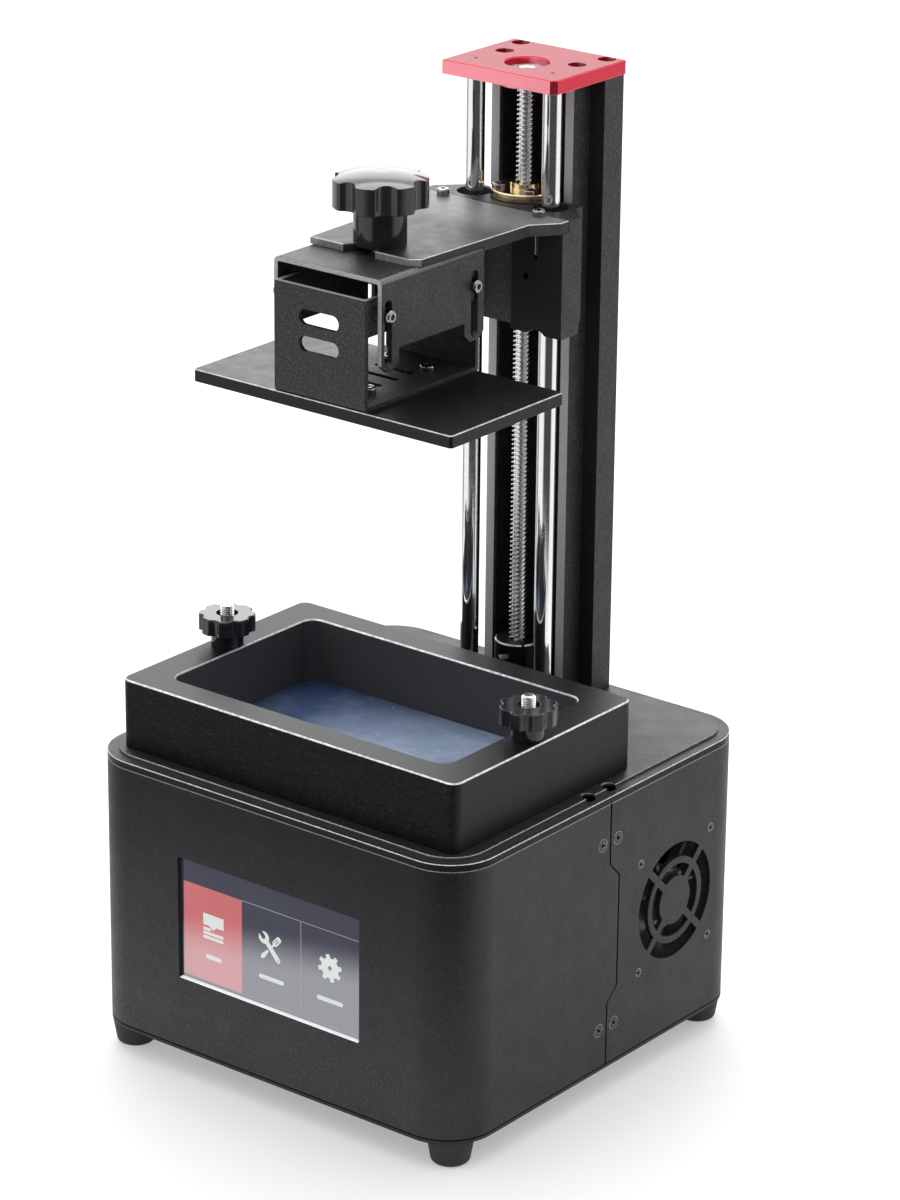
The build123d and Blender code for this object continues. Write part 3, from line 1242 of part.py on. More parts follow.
def vat_knob(name, x, start_angle):
    """A fluted knob on a round hub; the two differ in how far they are turned."""
    with BuildPart() as knob:
        with BuildSketch(level_plane(Z_VAT_GRIP, x, VAT_KNOB_Y)):
            Circle(VAT_KNOB_R)
            with PolarLocations(VAT_KNOB_R + 1.7, 8, start_angle=start_angle):
                Circle(3.0, mode=Mode.SUBTRACT)
        extrude(amount=VAT_GRIP_H)
        fillet(knob.edges().filter_by(Axis.Z), radius=0.9)
        chamfer(knob.faces().sort_by(Axis.Z)[-1].edges(), length=0.5)
        with Locations((x, VAT_KNOB_Y, Z_VAT_TOP)):
            Cylinder(radius=VAT_HUB_R, height=VAT_HUB_H, align=UP)
            Cylinder(radius=STUD_R + 0.05, height=30, align=UP, mode=Mode.SUBTRACT)
        with Locations((x, VAT_KNOB_Y, Z_VAT_GRIP + VAT_GRIP_H)):
            Cylinder(radius=4.7, height=1.8, align=DOWN, mode=Mode.SUBTRACT)
    save(knob, name)


vat_knob("vat_knob_left", -VAT_KNOB_X, start_angle=12)
vat_knob("vat_knob_right", VAT_KNOB_X, start_angle=34)
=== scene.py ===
# A resin printer on a paper floor, built over its CAD pieces. The frame is in metres:
# +X is the machine's right seen from the front, -Y its front, +Z up. The coupler, lead
# screw and top bearing stand one above another, and the touch screen is in the front cover.
import json
import math

import bmesh
import bpy
from mathutils import Matrix, Vector


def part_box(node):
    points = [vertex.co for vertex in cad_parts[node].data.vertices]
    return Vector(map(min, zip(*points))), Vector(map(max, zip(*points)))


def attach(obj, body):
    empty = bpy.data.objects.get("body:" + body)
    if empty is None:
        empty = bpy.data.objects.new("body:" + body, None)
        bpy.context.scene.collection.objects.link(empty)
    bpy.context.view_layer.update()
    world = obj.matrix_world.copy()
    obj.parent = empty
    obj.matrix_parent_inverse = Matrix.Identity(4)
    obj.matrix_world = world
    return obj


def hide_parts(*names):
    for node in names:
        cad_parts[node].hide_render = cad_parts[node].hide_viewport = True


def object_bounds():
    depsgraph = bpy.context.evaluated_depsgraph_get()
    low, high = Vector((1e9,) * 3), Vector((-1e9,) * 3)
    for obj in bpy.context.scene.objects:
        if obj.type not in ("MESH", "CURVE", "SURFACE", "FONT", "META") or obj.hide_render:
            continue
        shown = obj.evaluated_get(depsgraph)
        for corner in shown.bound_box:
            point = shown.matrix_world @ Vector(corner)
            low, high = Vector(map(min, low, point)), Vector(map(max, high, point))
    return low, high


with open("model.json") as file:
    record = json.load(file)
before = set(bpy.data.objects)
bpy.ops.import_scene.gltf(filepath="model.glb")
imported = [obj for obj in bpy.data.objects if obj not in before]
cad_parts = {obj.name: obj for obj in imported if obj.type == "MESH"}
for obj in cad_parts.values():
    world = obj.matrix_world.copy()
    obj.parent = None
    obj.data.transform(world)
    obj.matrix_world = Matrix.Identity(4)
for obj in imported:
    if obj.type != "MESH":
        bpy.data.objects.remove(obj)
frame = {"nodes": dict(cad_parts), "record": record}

CAD_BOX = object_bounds()
MM = 0.001

# Viewing direction, which also orients the studio, in radians
YAW = math.radians(38.1862)
PITCH = math.radians(20.7794)
ROLL = math.radians(0.6143)

# Finishes that replace the one named in the frame's record
NODE_FINISH = {
    "column": "column_coat",
    "carriage_block": "carriage_coat",
    "front_cover": "cover_coat",
    "rear_cover": "cover_coat",
    "top_plate": "top_coat",
    "deck_plate": "deck_coat",
    "upper_bracket": "hanger_coat",
    "lower_bracket": "saddle_coat",
    "arm_plate": "arm_anodised",
    "fan_frame": "fan_plastic",
    "fan_rotor": "fan_plastic",
    "arm_screws": "screw_chrome",
    "level_screws": "screw_chrome",
    "plate_screws": "screw_chrome",
    "nut_screws": "screw_chrome",
    "coupler_screws": "screw_chrome",
    "top_bearing": "bearing_steel",
    "linear_bearings": "bearing_steel",
}

# ------------------------------------------------------------------ shader tools


class Graph:
    """Adds and joins shader nodes. A value is an output socket, a number or a tuple."""

    def __init__(self, tree):
        self.tree = tree
        tree.nodes.clear()

    def feed(self, socket, value):
        if isinstance(value, bpy.types.NodeSocket):
            self.tree.links.new(value, socket)
        elif socket.type == "RGBA":
            socket.default_value = (*value, 1)
        else:
            socket.default_value = value

    def node(self, kind, inputs=None, **settings):
        node = self.tree.nodes.new(kind)
        for name, value in settings.items():
            setattr(node, name, value)
        for key, value in (inputs or {}).items():
            self.feed(node.inputs[key], value)
        return node

    def math(self, operation, first, second):
        return self.node("ShaderNodeMath", {0: first, 1: second}, operation=operation).outputs[0]

    def add(self, first, second):
        return self.math("ADD", first, second)

    def multiply(self, first, second):
        return self.math("MULTIPLY", first, second)

    def invert(self, value):
        return self.math("SUBTRACT", 1.0, value)

    def weighted(self, first, first_weight, second, second_weight):
        return self.add(self.multiply(first, first_weight), self.multiply(second, second_weight))

    def ramp(self, value, start, end, at_start=0.0, at_end=1.0, smooth=False):
        """Maps start..end to at_start..at_end, clamped outside."""
        inputs = {
            "Value": value,
            "From Min": start,
            "From Max": end,
            "To Min": at_start,
            "To Max": at_end,
        }
        kind = "SMOOTHSTEP" if smooth else "LINEAR"
        return self.node("ShaderNodeMapRange", inputs, interpolation_type=kind).outputs["Result"]

    def mix(self, share, first, second):
        """Blends two colours."""
        # sockets 0, 6 and 7 are the factor and the two colours, output 2 the mixed colour
        inputs = {0: share, 6: first, 7: second}
        return self.node("ShaderNodeMix", inputs, data_type="RGBA").outputs[2]

    def scaled(self, vector, factor):
        inputs = {0: vector, "Scale": factor}
        return self.node("ShaderNodeVectorMath", inputs, operation="SCALE").outputs[0]

    def components(self, vector):
        return self.node("ShaderNodeSeparateXYZ", {0: vector}).outputs


finishes = {}


class Finish(Graph):
    """A procedural material, kept in finishes. Its texture space is in metres."""

    def __init__(self, name, colour, rough, metal=0.0, ior=1.5):
        self.material = bpy.data.materials.new(name)
        self.material.use_nodes = True
        super().__init__(self.material.node_tree)
        self.output = self.node("ShaderNodeOutputMaterial")
        inputs = {"Base Color": colour, "Roughness": rough, "Metallic": metal, "IOR": ior}
        self.shader = self.node("ShaderNodeBsdfPrincipled", inputs)
        self.feed(self.output.inputs[0], self.shader.outputs[0])
        self.position = self.node("ShaderNodeTexCoord").outputs["Object"]
        self.base_colour, self.base_rough = colour, rough
        self.colour = colour
        self.normal = None
        finishes[name] = self

    def set(self, name, value):
        self.feed(self.shader.inputs[name], value)

    def paint(self, colour):
        self.colour = colour
        self.set("Base Color", colour)

    def paint_over(self, mask, colour):
        self.paint(self.mix(mask, self.colour, colour))

    def xyz(self):
        return self.components(self.position)

    def coords(self, stretch=(1, 1, 1), shift=(0, 0, 0)):
        inputs = {"Scale": stretch, "Location": shift, "Vector": self.position}
        return self.node("ShaderNodeMapping", inputs).outputs[0]

    def noise(self, size, detail=2.0, stretch=(1, 1, 1), rough=0.5, shift=(0, 0, 0)):
        """Noise whose features are about size metres across."""
        inputs = {
            "Scale": 1.0 / size,
            "Detail": detail,
            "Roughness": rough,
            "Vector": self.coords(stretch, shift),
        }
        return self.node("ShaderNodeTexNoise", inputs).outputs["Fac"]

    def mottle(self, size, at_low=0.0, at_high=1.0, **noise):
        """Noise spread over at_low to at_high."""
        return self.ramp(self.noise(size, **noise), 0.3, 0.7, at_low, at_high)

    def vary(self, size, amount, detail=3.0, stretch=(1, 1, 1)):
        """Slow change of colour over the surface."""
        dark = tuple(c * (1 - amount) for c in self.base_colour)
        light = tuple(min(1.0, c * (1 + amount)) for c in self.base_colour)
        self.paint(self.mix(self.mottle(size, detail=detail, stretch=stretch), dark, light))

    def rough_vary(self, size, amount, stretch=(1, 1, 1)):
        smoothest = max(0.02, self.base_rough - amount)
        roughest = self.base_rough + amount
        self.set("Roughness", self.mottle(size, smoothest, roughest, stretch=stretch))

    def bevel(self, radius, samples):
        return self.node("ShaderNodeBevel", {"Radius": radius}, samples=samples).outputs[0]

    def round_edges(self, radius):
        self.normal = self.bevel(radius, samples=4)
        self.set("Normal", self.normal)

    def bump(self, height, depth, strength=1.0):
        """height is a 0 to 1 field, depth its size in metres."""
        inputs = {"Distance": depth, "Strength": strength, "Height": height}
        if self.normal is not None:
            inputs["Normal"] = self.normal
        self.normal = self.node("ShaderNodeBump", inputs).outputs[0]
        self.set("Normal", self.normal)

    def edge_highlights(self, radius, colour, amount):
        """Painted highlight: lightens convex edges, where they catch the light."""
        rounded_normal = self.bevel(radius, samples=6)
        normal = self.node("ShaderNodeNewGeometry").outputs["Normal"]
        inputs = {0: rounded_normal, 1: normal}
        dot = self.node("ShaderNodeVectorMath", inputs, operation="DOT_PRODUCT")
        edge = self.ramp(dot.outputs["Value"], 0.995, 0.86, at_end=amount)
        patches = self.ramp(self.noise(0.004, detail=4.0), 0.32, 0.6, at_start=0.45)
        self.paint_over(self.multiply(edge, patches), colour)

    def facing(self, axis, start, end, at_start=0.0, at_end=1.0, absolute=False):
        """A field read from one component of the true face normal."""
        normal = self.node("ShaderNodeNewGeometry").outputs["True Normal"]
        value = self.components(normal)[axis]
        if absolute:
            value = self.math("ABSOLUTE", value, 0.0)
        return self.ramp(value, start, end, at_start, at_end, smooth=True)

    def layer(self, mask, colour, metal=0.0, rough=None, ior=None):
        """Lays another finish over the surface where mask is 1."""
        self.paint_over(mask, colour)
        keep = self.invert(mask)
        for name, value in (("Metallic", metal), ("Roughness", rough), ("IOR", ior)):
            if value is not None:
                socket = self.shader.inputs[name]
                old = socket.links[0].from_socket if socket.links else socket.default_value
                self.set(name, self.weighted(keep, old, mask, value))

    def band(self, bottom, top, soft=0.00006):
        """1 between two heights, on the faces that stand upright."""
        z = self.xyz()["Z"]
        between = self.multiply(
            self.ramp(z, bottom - soft, bottom + soft),
            self.ramp(z, top - soft, top + soft, at_start=1.0, at_end=0.0),
        )
        return self.multiply(between, self.facing("Z", 0.25, 0.15, absolute=True))

    def patchiness(self, size=0.0016, least=0.6):
        """Patchy noise between least and 1, which breaks up the painted highlights."""
        return self.ramp(self.noise(size, detail=4.0), 0.30, 0.62, at_start=least)

    def chamfer_highlights(self, colour, metal, rough, amount=1.0):
        """Painted highlight: pale metal on the chamfers that slope up, where they catch the
        light from above.
        """
        sloping = self.multiply(
            self.facing("Z", 0.30, 0.40),
            self.facing("Z", 0.955, 0.985, at_start=1.0, at_end=0.0),
        )
        patchy = self.multiply(sloping, self.patchiness(least=0.55))
        self.layer(self.multiply(patchy, amount), colour, metal, rough)


# ------------------------------------------------------------------ powder coats


def powder(name, colour, rough, grain, depth, speck, edge, ior=1.40):
    """Powder coat: orange-peel grain with paler specks and dark pits.

    grain and depth size the bumps, speck is how much paler the specks are.
    """
    m = Finish(name, colour, rough, ior=ior)
    m.vary(size=0.03, amount=0.10)
    fine = m.noise(grain, rough=0.6)
    speckle = grain * 0.85
    specks = m.noise(speckle, detail=1.5, rough=0.7, shift=(3, 5, 7))
    m.paint_over(m.ramp(specks, 0.50, 0.72), tuple(c + speck for c in colour))
    pits = m.noise(speckle, detail=1.5, rough=0.7, shift=(7, 1, 4))
    m.paint(m.scaled(m.colour, m.ramp(pits, 0.28, 0.48, at_start=0.45)))
    m.rough_vary(size=0.012, amount=0.04)
    m.round_edges(edge)
    coarse = m.noise(grain * 2.6, detail=1.0, shift=(1, 2, 3))
    m.bump(m.weighted(fine, 0.7, coarse, 0.3), depth)
    return m


def body_coat(name, ior=1.40):
    colour = (0.0088, 0.0087, 0.0122)
    return powder(
        name, colour, rough=0.50, grain=0.00072, depth=0.00020, speck=0.022, edge=0.0004, ior=ior
    )


def coarse_coat(name, grain=0.00095, depth=0.00036, speck=0.050, edge=0.0006):
    """The coarser coat of the brackets and the carriage."""
    return powder(name, (0.015, 0.0148, 0.0190), 0.50, grain, depth, speck, edge)


def cover_coat(plate_bottom):
    """Painted light and shade: front faces are paler low down, where the floor lights them, and
    darken upwards. A painted highlight runs along the edge under the top plate.
    """
    m = body_coat("cover_coat")
    z = m.xyz()["Z"]
    # painted light and shade on the front faces: paler and more reflective low down, darker
    # upwards
    front = m.facing("Y", -0.25, -0.80)
    lowness = m.ramp(z, start=0.128, end=0.030)
    brightness = m.add(m.multiply(lowness, 0.95), 0.42)
    m.paint_over(front, m.scaled(m.colour, brightness))
    front_ior = m.add(m.multiply(lowness, 0.17), 1.27)
    m.set("IOR", m.weighted(front, front_ior, m.invert(front), 1.40))
    # painted highlight along the edge under the top plate
    line = m.multiply(m.band(plate_bottom - 0.38 * MM, plate_bottom + MM), m.patchiness())
    m.layer(line, colour=(0.26, 0.26, 0.27), metal=0.4, rough=0.30)


def top_coat(bottom, top):
    """Top plate: smooth black sheared edge with a painted highlight along its upper corner."""
    m = body_coat("top_coat")
    edge = m.band(bottom - MM, top + MM)
    m.layer(edge, colour=(0.0040, 0.0040, 0.0050), rough=0.34, ior=1.22)
    # painted highlight on the chamfer of the upper corner
    m.chamfer_highlights(colour=(0.62, 0.62, 0.64), metal=0.7, rough=0.26)


def deck_coat(bottom, top):
    """Deck plate: bare edge, with a painted highlight along its upper corner."""
    m = body_coat("deck_coat", ior=1.44)
    edge = m.band(bottom - MM, top + MM)
    m.layer(edge, colour=(0.10, 0.10, 0.105), metal=0.3, rough=0.30)
    # painted highlight along the upper corner
    corner = m.multiply(m.band(top - 0.50 * MM, top + MM), m.patchiness())
    m.layer(corner, colour=(0.90, 0.90, 0.91), metal=0.8, rough=0.22)


def hanger_coat(front):
    """Upper bracket: painted highlights on the cut edge at the front and along the folds."""
    m = coarse_coat("hanger_coat")
    y = m.xyz()["Y"]
    # painted highlight along the folds
    fold = m.multiply(m.facing("Z", 0.10, 0.45), m.facing("Z", 0.985, 0.90))
    sheen = m.multiply(fold, m.multiply(m.patchiness(size=0.0010), 0.8))
    m.layer(sheen, colour=(0.20, 0.20, 0.205), metal=0.35, rough=0.34)
    # painted highlight on the cut edge at the front
    rim = m.multiply(
        m.facing("Y", -0.80, -0.97),
        m.ramp(y, front + 0.6 * MM, front + 0.2 * MM),
    )
    rim_highlight = m.multiply(rim, m.patchiness(size=0.0008))
    m.layer(rim_highlight, colour=(0.40, 0.40, 0.41), metal=0.4, rough=0.30)


def saddle_coat(top):
    """Lower bracket: a painted highlight where the sheared upper edges catch the light."""
    m = coarse_coat("saddle_coat")
    z = m.xyz()["Z"]
    # painted highlight along the sheared upper edges
    crest = m.multiply(
        m.facing("Z", 0.80, 0.97),
        m.ramp(z, top - 0.6 * MM, top - 0.2 * MM),
    )
    crest_highlight = m.multiply(crest, m.patchiness(size=0.0008))
    m.layer(crest_highlight, colour=(0.36, 0.36, 0.37), metal=0.3, rough=0.34)


def column_coat():
    """Column: the lands beside the channel are pale on their front faces; the steps are dark, a
    painted shade in the recess.
    """
    colour = (0.017, 0.0168, 0.0212)
    m = powder(
        "column_coat", colour, rough=0.52, grain=0.00105, depth=0.00036, speck=0.048, edge=0.0005
    )
    front = m.facing("Y", -0.9, -0.99)
    ahead = m.ramp(m.xyz()["Y"], start=0.0730, end=0.0720)
    step = m.multiply(front, m.invert(ahead))
    land = m.multiply(front, ahead)
    # painted shade: the recessed steps darken, and the lower IOR below weakens their reflection
    m.paint_over(step, (0.0165, 0.0162, 0.0180))
    m.paint_over(land, (0.42, 0.42, 0.44))
    m.set("IOR", m.ramp(step, 0.0, 1.0, at_start=1.40, at_end=1.14))


def carriage_coat(amount=1.0):
    """Carriage: front faces smooth and dark, the rest coated."""
    m = coarse_coat("carriage_coat", grain=0.00100, depth=0.00030, speck=0.045, edge=0.0005)
    front = m.multiply(m.facing("Y", -0.9, -0.99), amount)
    ahead = m.ramp(m.xyz()["Y"], start=0.0452, end=0.0440)
    m.paint_over(m.multiply(front, ahead), (0.0180, 0.0176, 0.0200))
    m.set("IOR", m.ramp(m.multiply(front, ahead), 0.0, 1.0, at_start=1.40, at_end=1.18))


# ------------------------------------------------------------------ anodised parts


def anodised(name, colour, rough):
    m = Finish(name, colour, rough, ior=1.32)
    m.vary(size=0.02, amount=0.12)
    m.rough_vary(size=0.006, amount=0.04)
    return m


def anodised_detail(m):
    """Painted highlights on the chamfers, and a fine grain."""
    m.chamfer_highlights(colour=(0.60, 0.60, 0.62), metal=0.7, rough=0.30)
    m.round_edges(0.0003)
    m.bump(m.noise(0.00035), depth=0.00003, strength=0.7)


def black_anodised():
    anodised_detail(anodised("black_anodised", (0.0050, 0.0048, 0.0056), rough=0.40))


def arm_anodised():
    """Arm: satin top with a painted sheen that pales it towards the carriage, and painted
    highlights on the front edges.
    """
    m = anodised("arm_anodised", (0.016, 0.0158, 0.0175), rough=0.44)
    # painted sheen: the top pales towards the carriage
    rearward = m.ramp(m.xyz()["Y"], start=0.006, end=0.032, smooth=True)
    m.paint_over(m.multiply(m.facing("Z", 0.90, 0.98), rearward), (0.150, 0.149, 0.158))
    # painted highlight: pale patches on the front edges
    front = m.multiply(m.facing("Y", -0.55, -0.85), m.patchiness(size=0.003))
    m.layer(front, colour=(0.30, 0.30, 0.31), metal=0.25, rough=0.34)
    anodised_detail(m)


def vat_anodised(low, high):
    """Vat frame: brushed and flecked, with painted light on the walls of the well and painted
    shade on the outer front.
    """
    m = Finish("vat_anodised", (0.0052, 0.0051, 0.0058), rough=0.42, ior=1.31)
    m.vary(size=0.0012, amount=0.30, detail=4.0, stretch=(0.035, 0.035, 1.0))
    flecks = m.noise(0.00055, stretch=(0.35, 0.35, 1.0), rough=0.7, shift=(4, 2, 9))
    m.paint_over(m.ramp(flecks, 0.52, 0.74), (0.020, 0.020, 0.022))
    place = m.xyz()
    within_x = m.ramp(m.math("ABSOLUTE", place["X"], 0.0), high.x - 12 * MM, high.x - 13 * MM)
    within_y = m.multiply(
        m.ramp(place["Y"], low.y + 10 * MM, low.y + 11 * MM),
        m.ramp(place["Y"], high.y - 10 * MM, high.y - 11 * MM),
    )
    upright = m.facing("Z", 0.35, 0.15, absolute=True)
    # painted light: the walls of the well are paler
    well = m.multiply(m.multiply(within_x, within_y), upright)
    m.paint_over(well, (0.062, 0.062, 0.067))
    # painted shade: the outer front reflects less, through a lower IOR
    outer = m.multiply(m.facing("Y", -0.5, -0.9), m.invert(well))
    m.set("IOR", m.ramp(outer, 0.0, 1.0, at_start=1.29, at_end=1.16))
    m.chamfer_highlights(colour=(0.80, 0.80, 0.81), metal=0.8, rough=0.28)
    m.round_edges(0.0004)
    brush = m.noise(0.0006, detail=4.0, stretch=(0.02, 0.02, 1.0), shift=(1, 1, 1))
    peen = m.noise(0.0004)
    m.bump(m.weighted(brush, 0.65, peen, 0.35), depth=0.00007, strength=0.8)


def red_anodised():
    """Red metal with a paler front edge, a painted highlight, and a deep red top."""
    m = Finish("red_anodised", (0.60, 0.030, 0.060), rough=0.36, metal=0.80)
    m.vary(size=0.015, amount=0.06)
    # painted highlight: a pale pink sheen on the front faces
    m.paint_over(m.multiply(m.facing("Y", -0.80, -0.97), 0.85), (0.98, 0.36, 0.42))
    m.rough_vary(size=0.004, amount=0.04)
    # painted highlight along the convex edges
    m.edge_highlights(radius=0.00035, colour=(0.95, 0.60, 0.63), amount=0.8)
    m.layer(m.facing("Z", 0.90, 0.98), colour=(0.27, 0.020, 0.034), rough=0.40, ior=1.20)
    m.round_edges(0.0003)
    m.bump(m.noise(0.0003), depth=0.00003, strength=0.6)


# ------------------------------------------------------------------ bare metals


def hard_chrome():
    streaks = (0.05, 0.05, 1.0)
    m = Finish("hard_chrome", (0.80, 0.80, 0.82), rough=0.07, metal=1.0)
    m.vary(size=0.0012, amount=0.03, detail=2.0, stretch=streaks)
    m.rough_vary(size=0.0015, amount=0.03, stretch=streaks)
    m.bump(m.noise(0.0009, stretch=streaks), depth=0.000004, strength=0.6)


EVEN = (1, 1, 1)
# name, colour, roughness, stretch of the streaks, streak size, streak depth
BRUSHED_METALS = [
    ("steel", (0.62, 0.62, 0.63), 0.20, EVEN, 0.0012, 0.00002),
    ("thread_steel", (0.82, 0.82, 0.83), 0.14, EVEN, 0.0012, 0.00001),
    ("screw_chrome", (0.30, 0.30, 0.31), 0.13, EVEN, 0.0010, 0.00001),
    ("dark_steel", (0.050, 0.050, 0.054), 0.26, EVEN, 0.001, 0.00002),
    ("brass", (0.93, 0.76, 0.48), 0.20, (0.1, 0.1, 1.0), 0.0009, 0.00002),
    ("bearing_steel", (0.72, 0.72, 0.73), 0.16, (1, 1, 0.2), 0.0009, 0.00001),
    ("plain_aluminium", (0.74, 0.74, 0.76), 0.30, (0.06, 1, 1), 0.0012, 0.00002),
    ("plated_shell", (0.70, 0.69, 0.66), 0.22, (0.1, 1, 1), 0.001, 0.00001),
]


def brushed_metals():
    for name, colour, rough, stretch, size, depth in BRUSHED_METALS:
        m = Finish(name, colour, rough, metal=1.0)
        m.vary(size, amount=0.08, stretch=stretch)
        m.rough_vary(size, amount=0.06, stretch=stretch)
        m.round_edges(0.0003)
        streaks = m.noise(size, detail=3.0, stretch=stretch, shift=(2, 4, 1))
        m.bump(streaks, depth, strength=0.8)
    # painted highlight around the edges of the dark steel
    finishes["dark_steel"].edge_highlights(radius=0.00035, colour=(0.62, 0.62, 0.64), amount=0.85)


# ------------------------------------------------------------------ plastics and glass


def rubber():
    m = Finish("rubber", (0.016, 0.016, 0.017), rough=0.72)
    m.vary(size=0.006, amount=0.2)
    m.round_edges(0.0005)
    m.bump(m.noise(0.0005, detail=3.0), depth=0.00005, strength=0.8)


def gloss_black():
    m = Finish("gloss_black", (0.0150, 0.0147, 0.0168), rough=0.10, ior=1.52)
    m.vary(size=0.006, amount=0.25)
    m.rough_vary(size=0.003, amount=0.02)
    m.round_edges(0.0005)
    m.bump(m.noise(0.0030), depth=0.00003, strength=0.5)


def plastic(name, colour, rough, grain, depth, strength):
    m = Finish(name, colour, rough)
    m.vary(size=0.005, amount=0.15)
    m.rough_vary(size=0.002, amount=0.05)
    m.round_edges(0.0003)
    m.bump(m.noise(grain), depth, strength)
    return m


def black_plastic():
    colour = (0.030, 0.030, 0.032)
    plastic("black_plastic", colour, rough=0.30, grain=0.0004, depth=0.00004, strength=0.7)


def fan_plastic():
    colour = (0.045, 0.045, 0.048)
    m = plastic("fan_plastic", colour, rough=0.24, grain=0.0006, depth=0.00003, strength=0.6)
    # painted light: a faint glow lifts the dark fan behind the grille
    m.set("Emission Color", (0.9, 0.9, 1.0))
    m.set("Emission Strength", 0.004)


def screen_glass():
    m = Finish("screen_glass", (0.035, 0.037, 0.050), rough=0.10)
    m.vary(size=0.02, amount=0.05)
    m.rough_vary(size=0.01, amount=0.02)
    m.set("Coat Weight", 1.0)
    m.set("Coat Roughness", 0.04)


def lcd_glass():
    m = Finish("lcd_glass", (0.10, 0.155, 0.27), rough=0.22)
    m.vary(size=0.03, amount=0.12)
    m.rough_vary(size=0.01, amount=0.04)


def clear_lens():
    m = Finish("clear_lens", (0.86, 0.89, 0.92), rough=0.05, ior=1.49)
    m.vary(size=0.01, amount=0.02)
    m.set("Transmission Weight", 1.0)
    m.bump(m.noise(0.004), depth=0.00001, strength=0.4)


def circuit_board():
    """Green board with paler traces between the bricks of a brick pattern."""
    m = Finish("circuit_board", (0.012, 0.085, 0.04), rough=0.36)
    traces = {
        "Scale": 220.0,
        "Mortar Size": 0.06,
        "Color1": (0.010, 0.075, 0.035),
        "Color2": (0.014, 0.095, 0.045),
        "Mortar": (0.04, 0.17, 0.09),
        "Vector": m.coords(),
    }
    m.paint(m.node("ShaderNodeTexBrick", traces).outputs["Color"])
    m.rough_vary(size=0.002, amount=0.05)
    m.round_edges(0.0002)


def release_film():
    """Stretched release film over the display: pale blue, with painted light that pales it from
    the left, and a soft sheen.
    """
    m = Finish("release_film", (0.20, 0.28, 0.46), rough=0.24, ior=1.40)
    place = m.xyz()
    across = m.add(place["X"], m.multiply(place["Y"], -0.35))
    # painted light: the film pales from the left towards the right
    film_light = m.ramp(across, start=-0.062, end=0.040, smooth=True)
    film_light = m.add(film_light, m.mottle(0.022, -0.12, 0.12, detail=3.0))
    colour = m.mix(film_light, (0.030, 0.052, 0.115), (0.275, 0.345, 0.475))
    # the near right corner lies in the shade of the wall
    corner = m.weighted(place["X"], 0.85, place["Y"], -1.0)
    shade_start, shade_end = 0.036, 0.066
    shade = m.ramp(corner, shade_start, shade_end, at_end=0.95, smooth=True)
    colour = m.mix(shade, colour, (0.030, 0.034, 0.045))
    streaks = m.mottle(0.0010, 0.86, 1.14, detail=3.0, stretch=(0.25, 1.0, 1.0), rough=0.6)
    m.paint(m.scaled(colour, streaks))
    m.rough_vary(size=0.02, amount=0.05)
    m.set("IOR", m.ramp(corner, shade_start, shade_end, at_start=1.40, at_end=1.12))
    m.bump(m.noise(0.03), depth=0.0004, strength=0.25)


def build_finishes():
    top_low, top_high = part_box("top_plate")
    deck_low, deck_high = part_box("deck_plate")
    body_coat("powder_coat")
    cover_coat(top_low.z)
    top_coat(top_low.z, top_high.z)
    deck_coat(deck_low.z, deck_high.z)
    coarse_coat("bracket_coat")
    hanger_coat(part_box("upper_bracket")[0].y)
    saddle_coat(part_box("lower_bracket")[1].z)
    column_coat()
    carriage_coat()
    black_anodised()
    arm_anodised()
    vat_anodised(*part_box("vat_frame"))
    red_anodised()
    hard_chrome()
    brushed_metals()
    rubber()
    gloss_black()
    black_plastic()
    fan_plastic()
    screen_glass()
    lcd_glass()
    clear_lens()
    circuit_board()
    release_film()


def dress_cad_pieces():
    for row in frame["record"]["subparts"]:
        name = NODE_FINISH.get(row["node"], row["material_slot"])
        data = frame["nodes"][row["node"]].data
        data.materials.clear()
        data.materials.append(finishes[name].material)


# ------------------------------------------------------------------ mesh tools


def finish_mesh(name, bm, finish, body, smooth_angle=None):
    """Makes the object; edges sharper than smooth_angle degrees stay sharp."""
    data = bpy.data.meshes.new(name)
    bmesh.ops.recalc_face_normals(bm, faces=bm.faces[:])
    bm.to_mesh(data)
    bm.free()
    data.materials.append(finishes[finish].material)
    piece = bpy.data.objects.new(name, data)
    bpy.context.scene.collection.objects.link(piece)
    if smooth_angle is not None:
        for polygon in data.polygons:
            polygon.use_smooth = True
        data.set_sharp_from_angle(angle=math.radians(smooth_angle))
    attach(piece, body)
    return piece


def outline_mesh(bm, loops, y0, y1):
    """Adds a flat plate from y0 to y1: the first loop is its outline, the rest its holes."""
    curve = bpy.data.curves.new("outline", "CURVE")
    curve.dimensions = "2D"
    curve.fill_mode = "BOTH"
    curve.extrude = abs(y1 - y0) / 2
    for loop in loops:
        spline = curve.splines.new("POLY")
        spline.points.add(len(loop) - 1)
        for point, (x, z) in zip(spline.points, loop):
            point.co = (x, z, 0, 1)
        spline.use_cyclic_u = True
    holder = bpy.data.objects.new("outline", curve)
    bpy.context.scene.collection.objects.link(holder)
    bpy.context.view_layer.update()
    evaluated = holder.evaluated_get(bpy.context.evaluated_depsgraph_get())
    data = bpy.data.meshes.new_from_object(evaluated)
    # curve plane XY stands up as XZ, its thickness along Y
    middle = (y0 + y1) / 2
    data.transform(Matrix(((1, 0, 0, 0), (0, 0, 1, middle), (0, 1, 0, 0), (0, 0, 0, 1))))
    bm.from_mesh(data)
    bpy.data.objects.remove(holder)
    bpy.data.curves.remove(curve)
    bpy.data.meshes.remove(data)


def rounded(centre_x, centre_z, width, height, radius, steps=6):
    """A rounded rectangle as a list of points."""
    points = []
    for side_x, side_z, start in ((1, 1, 0), (-1, 1, 90), (-1, -1, 180), (1, -1, 270)):
        for i in range(steps + 1):
            a = math.radians(start + 90.0 * i / steps)
            x = centre_x + side_x * (width / 2 - radius) + radius * math.cos(a)
            z = centre_z + side_z * (height / 2 - radius) + radius * math.sin(a)
            points.append((x, z))
    return points


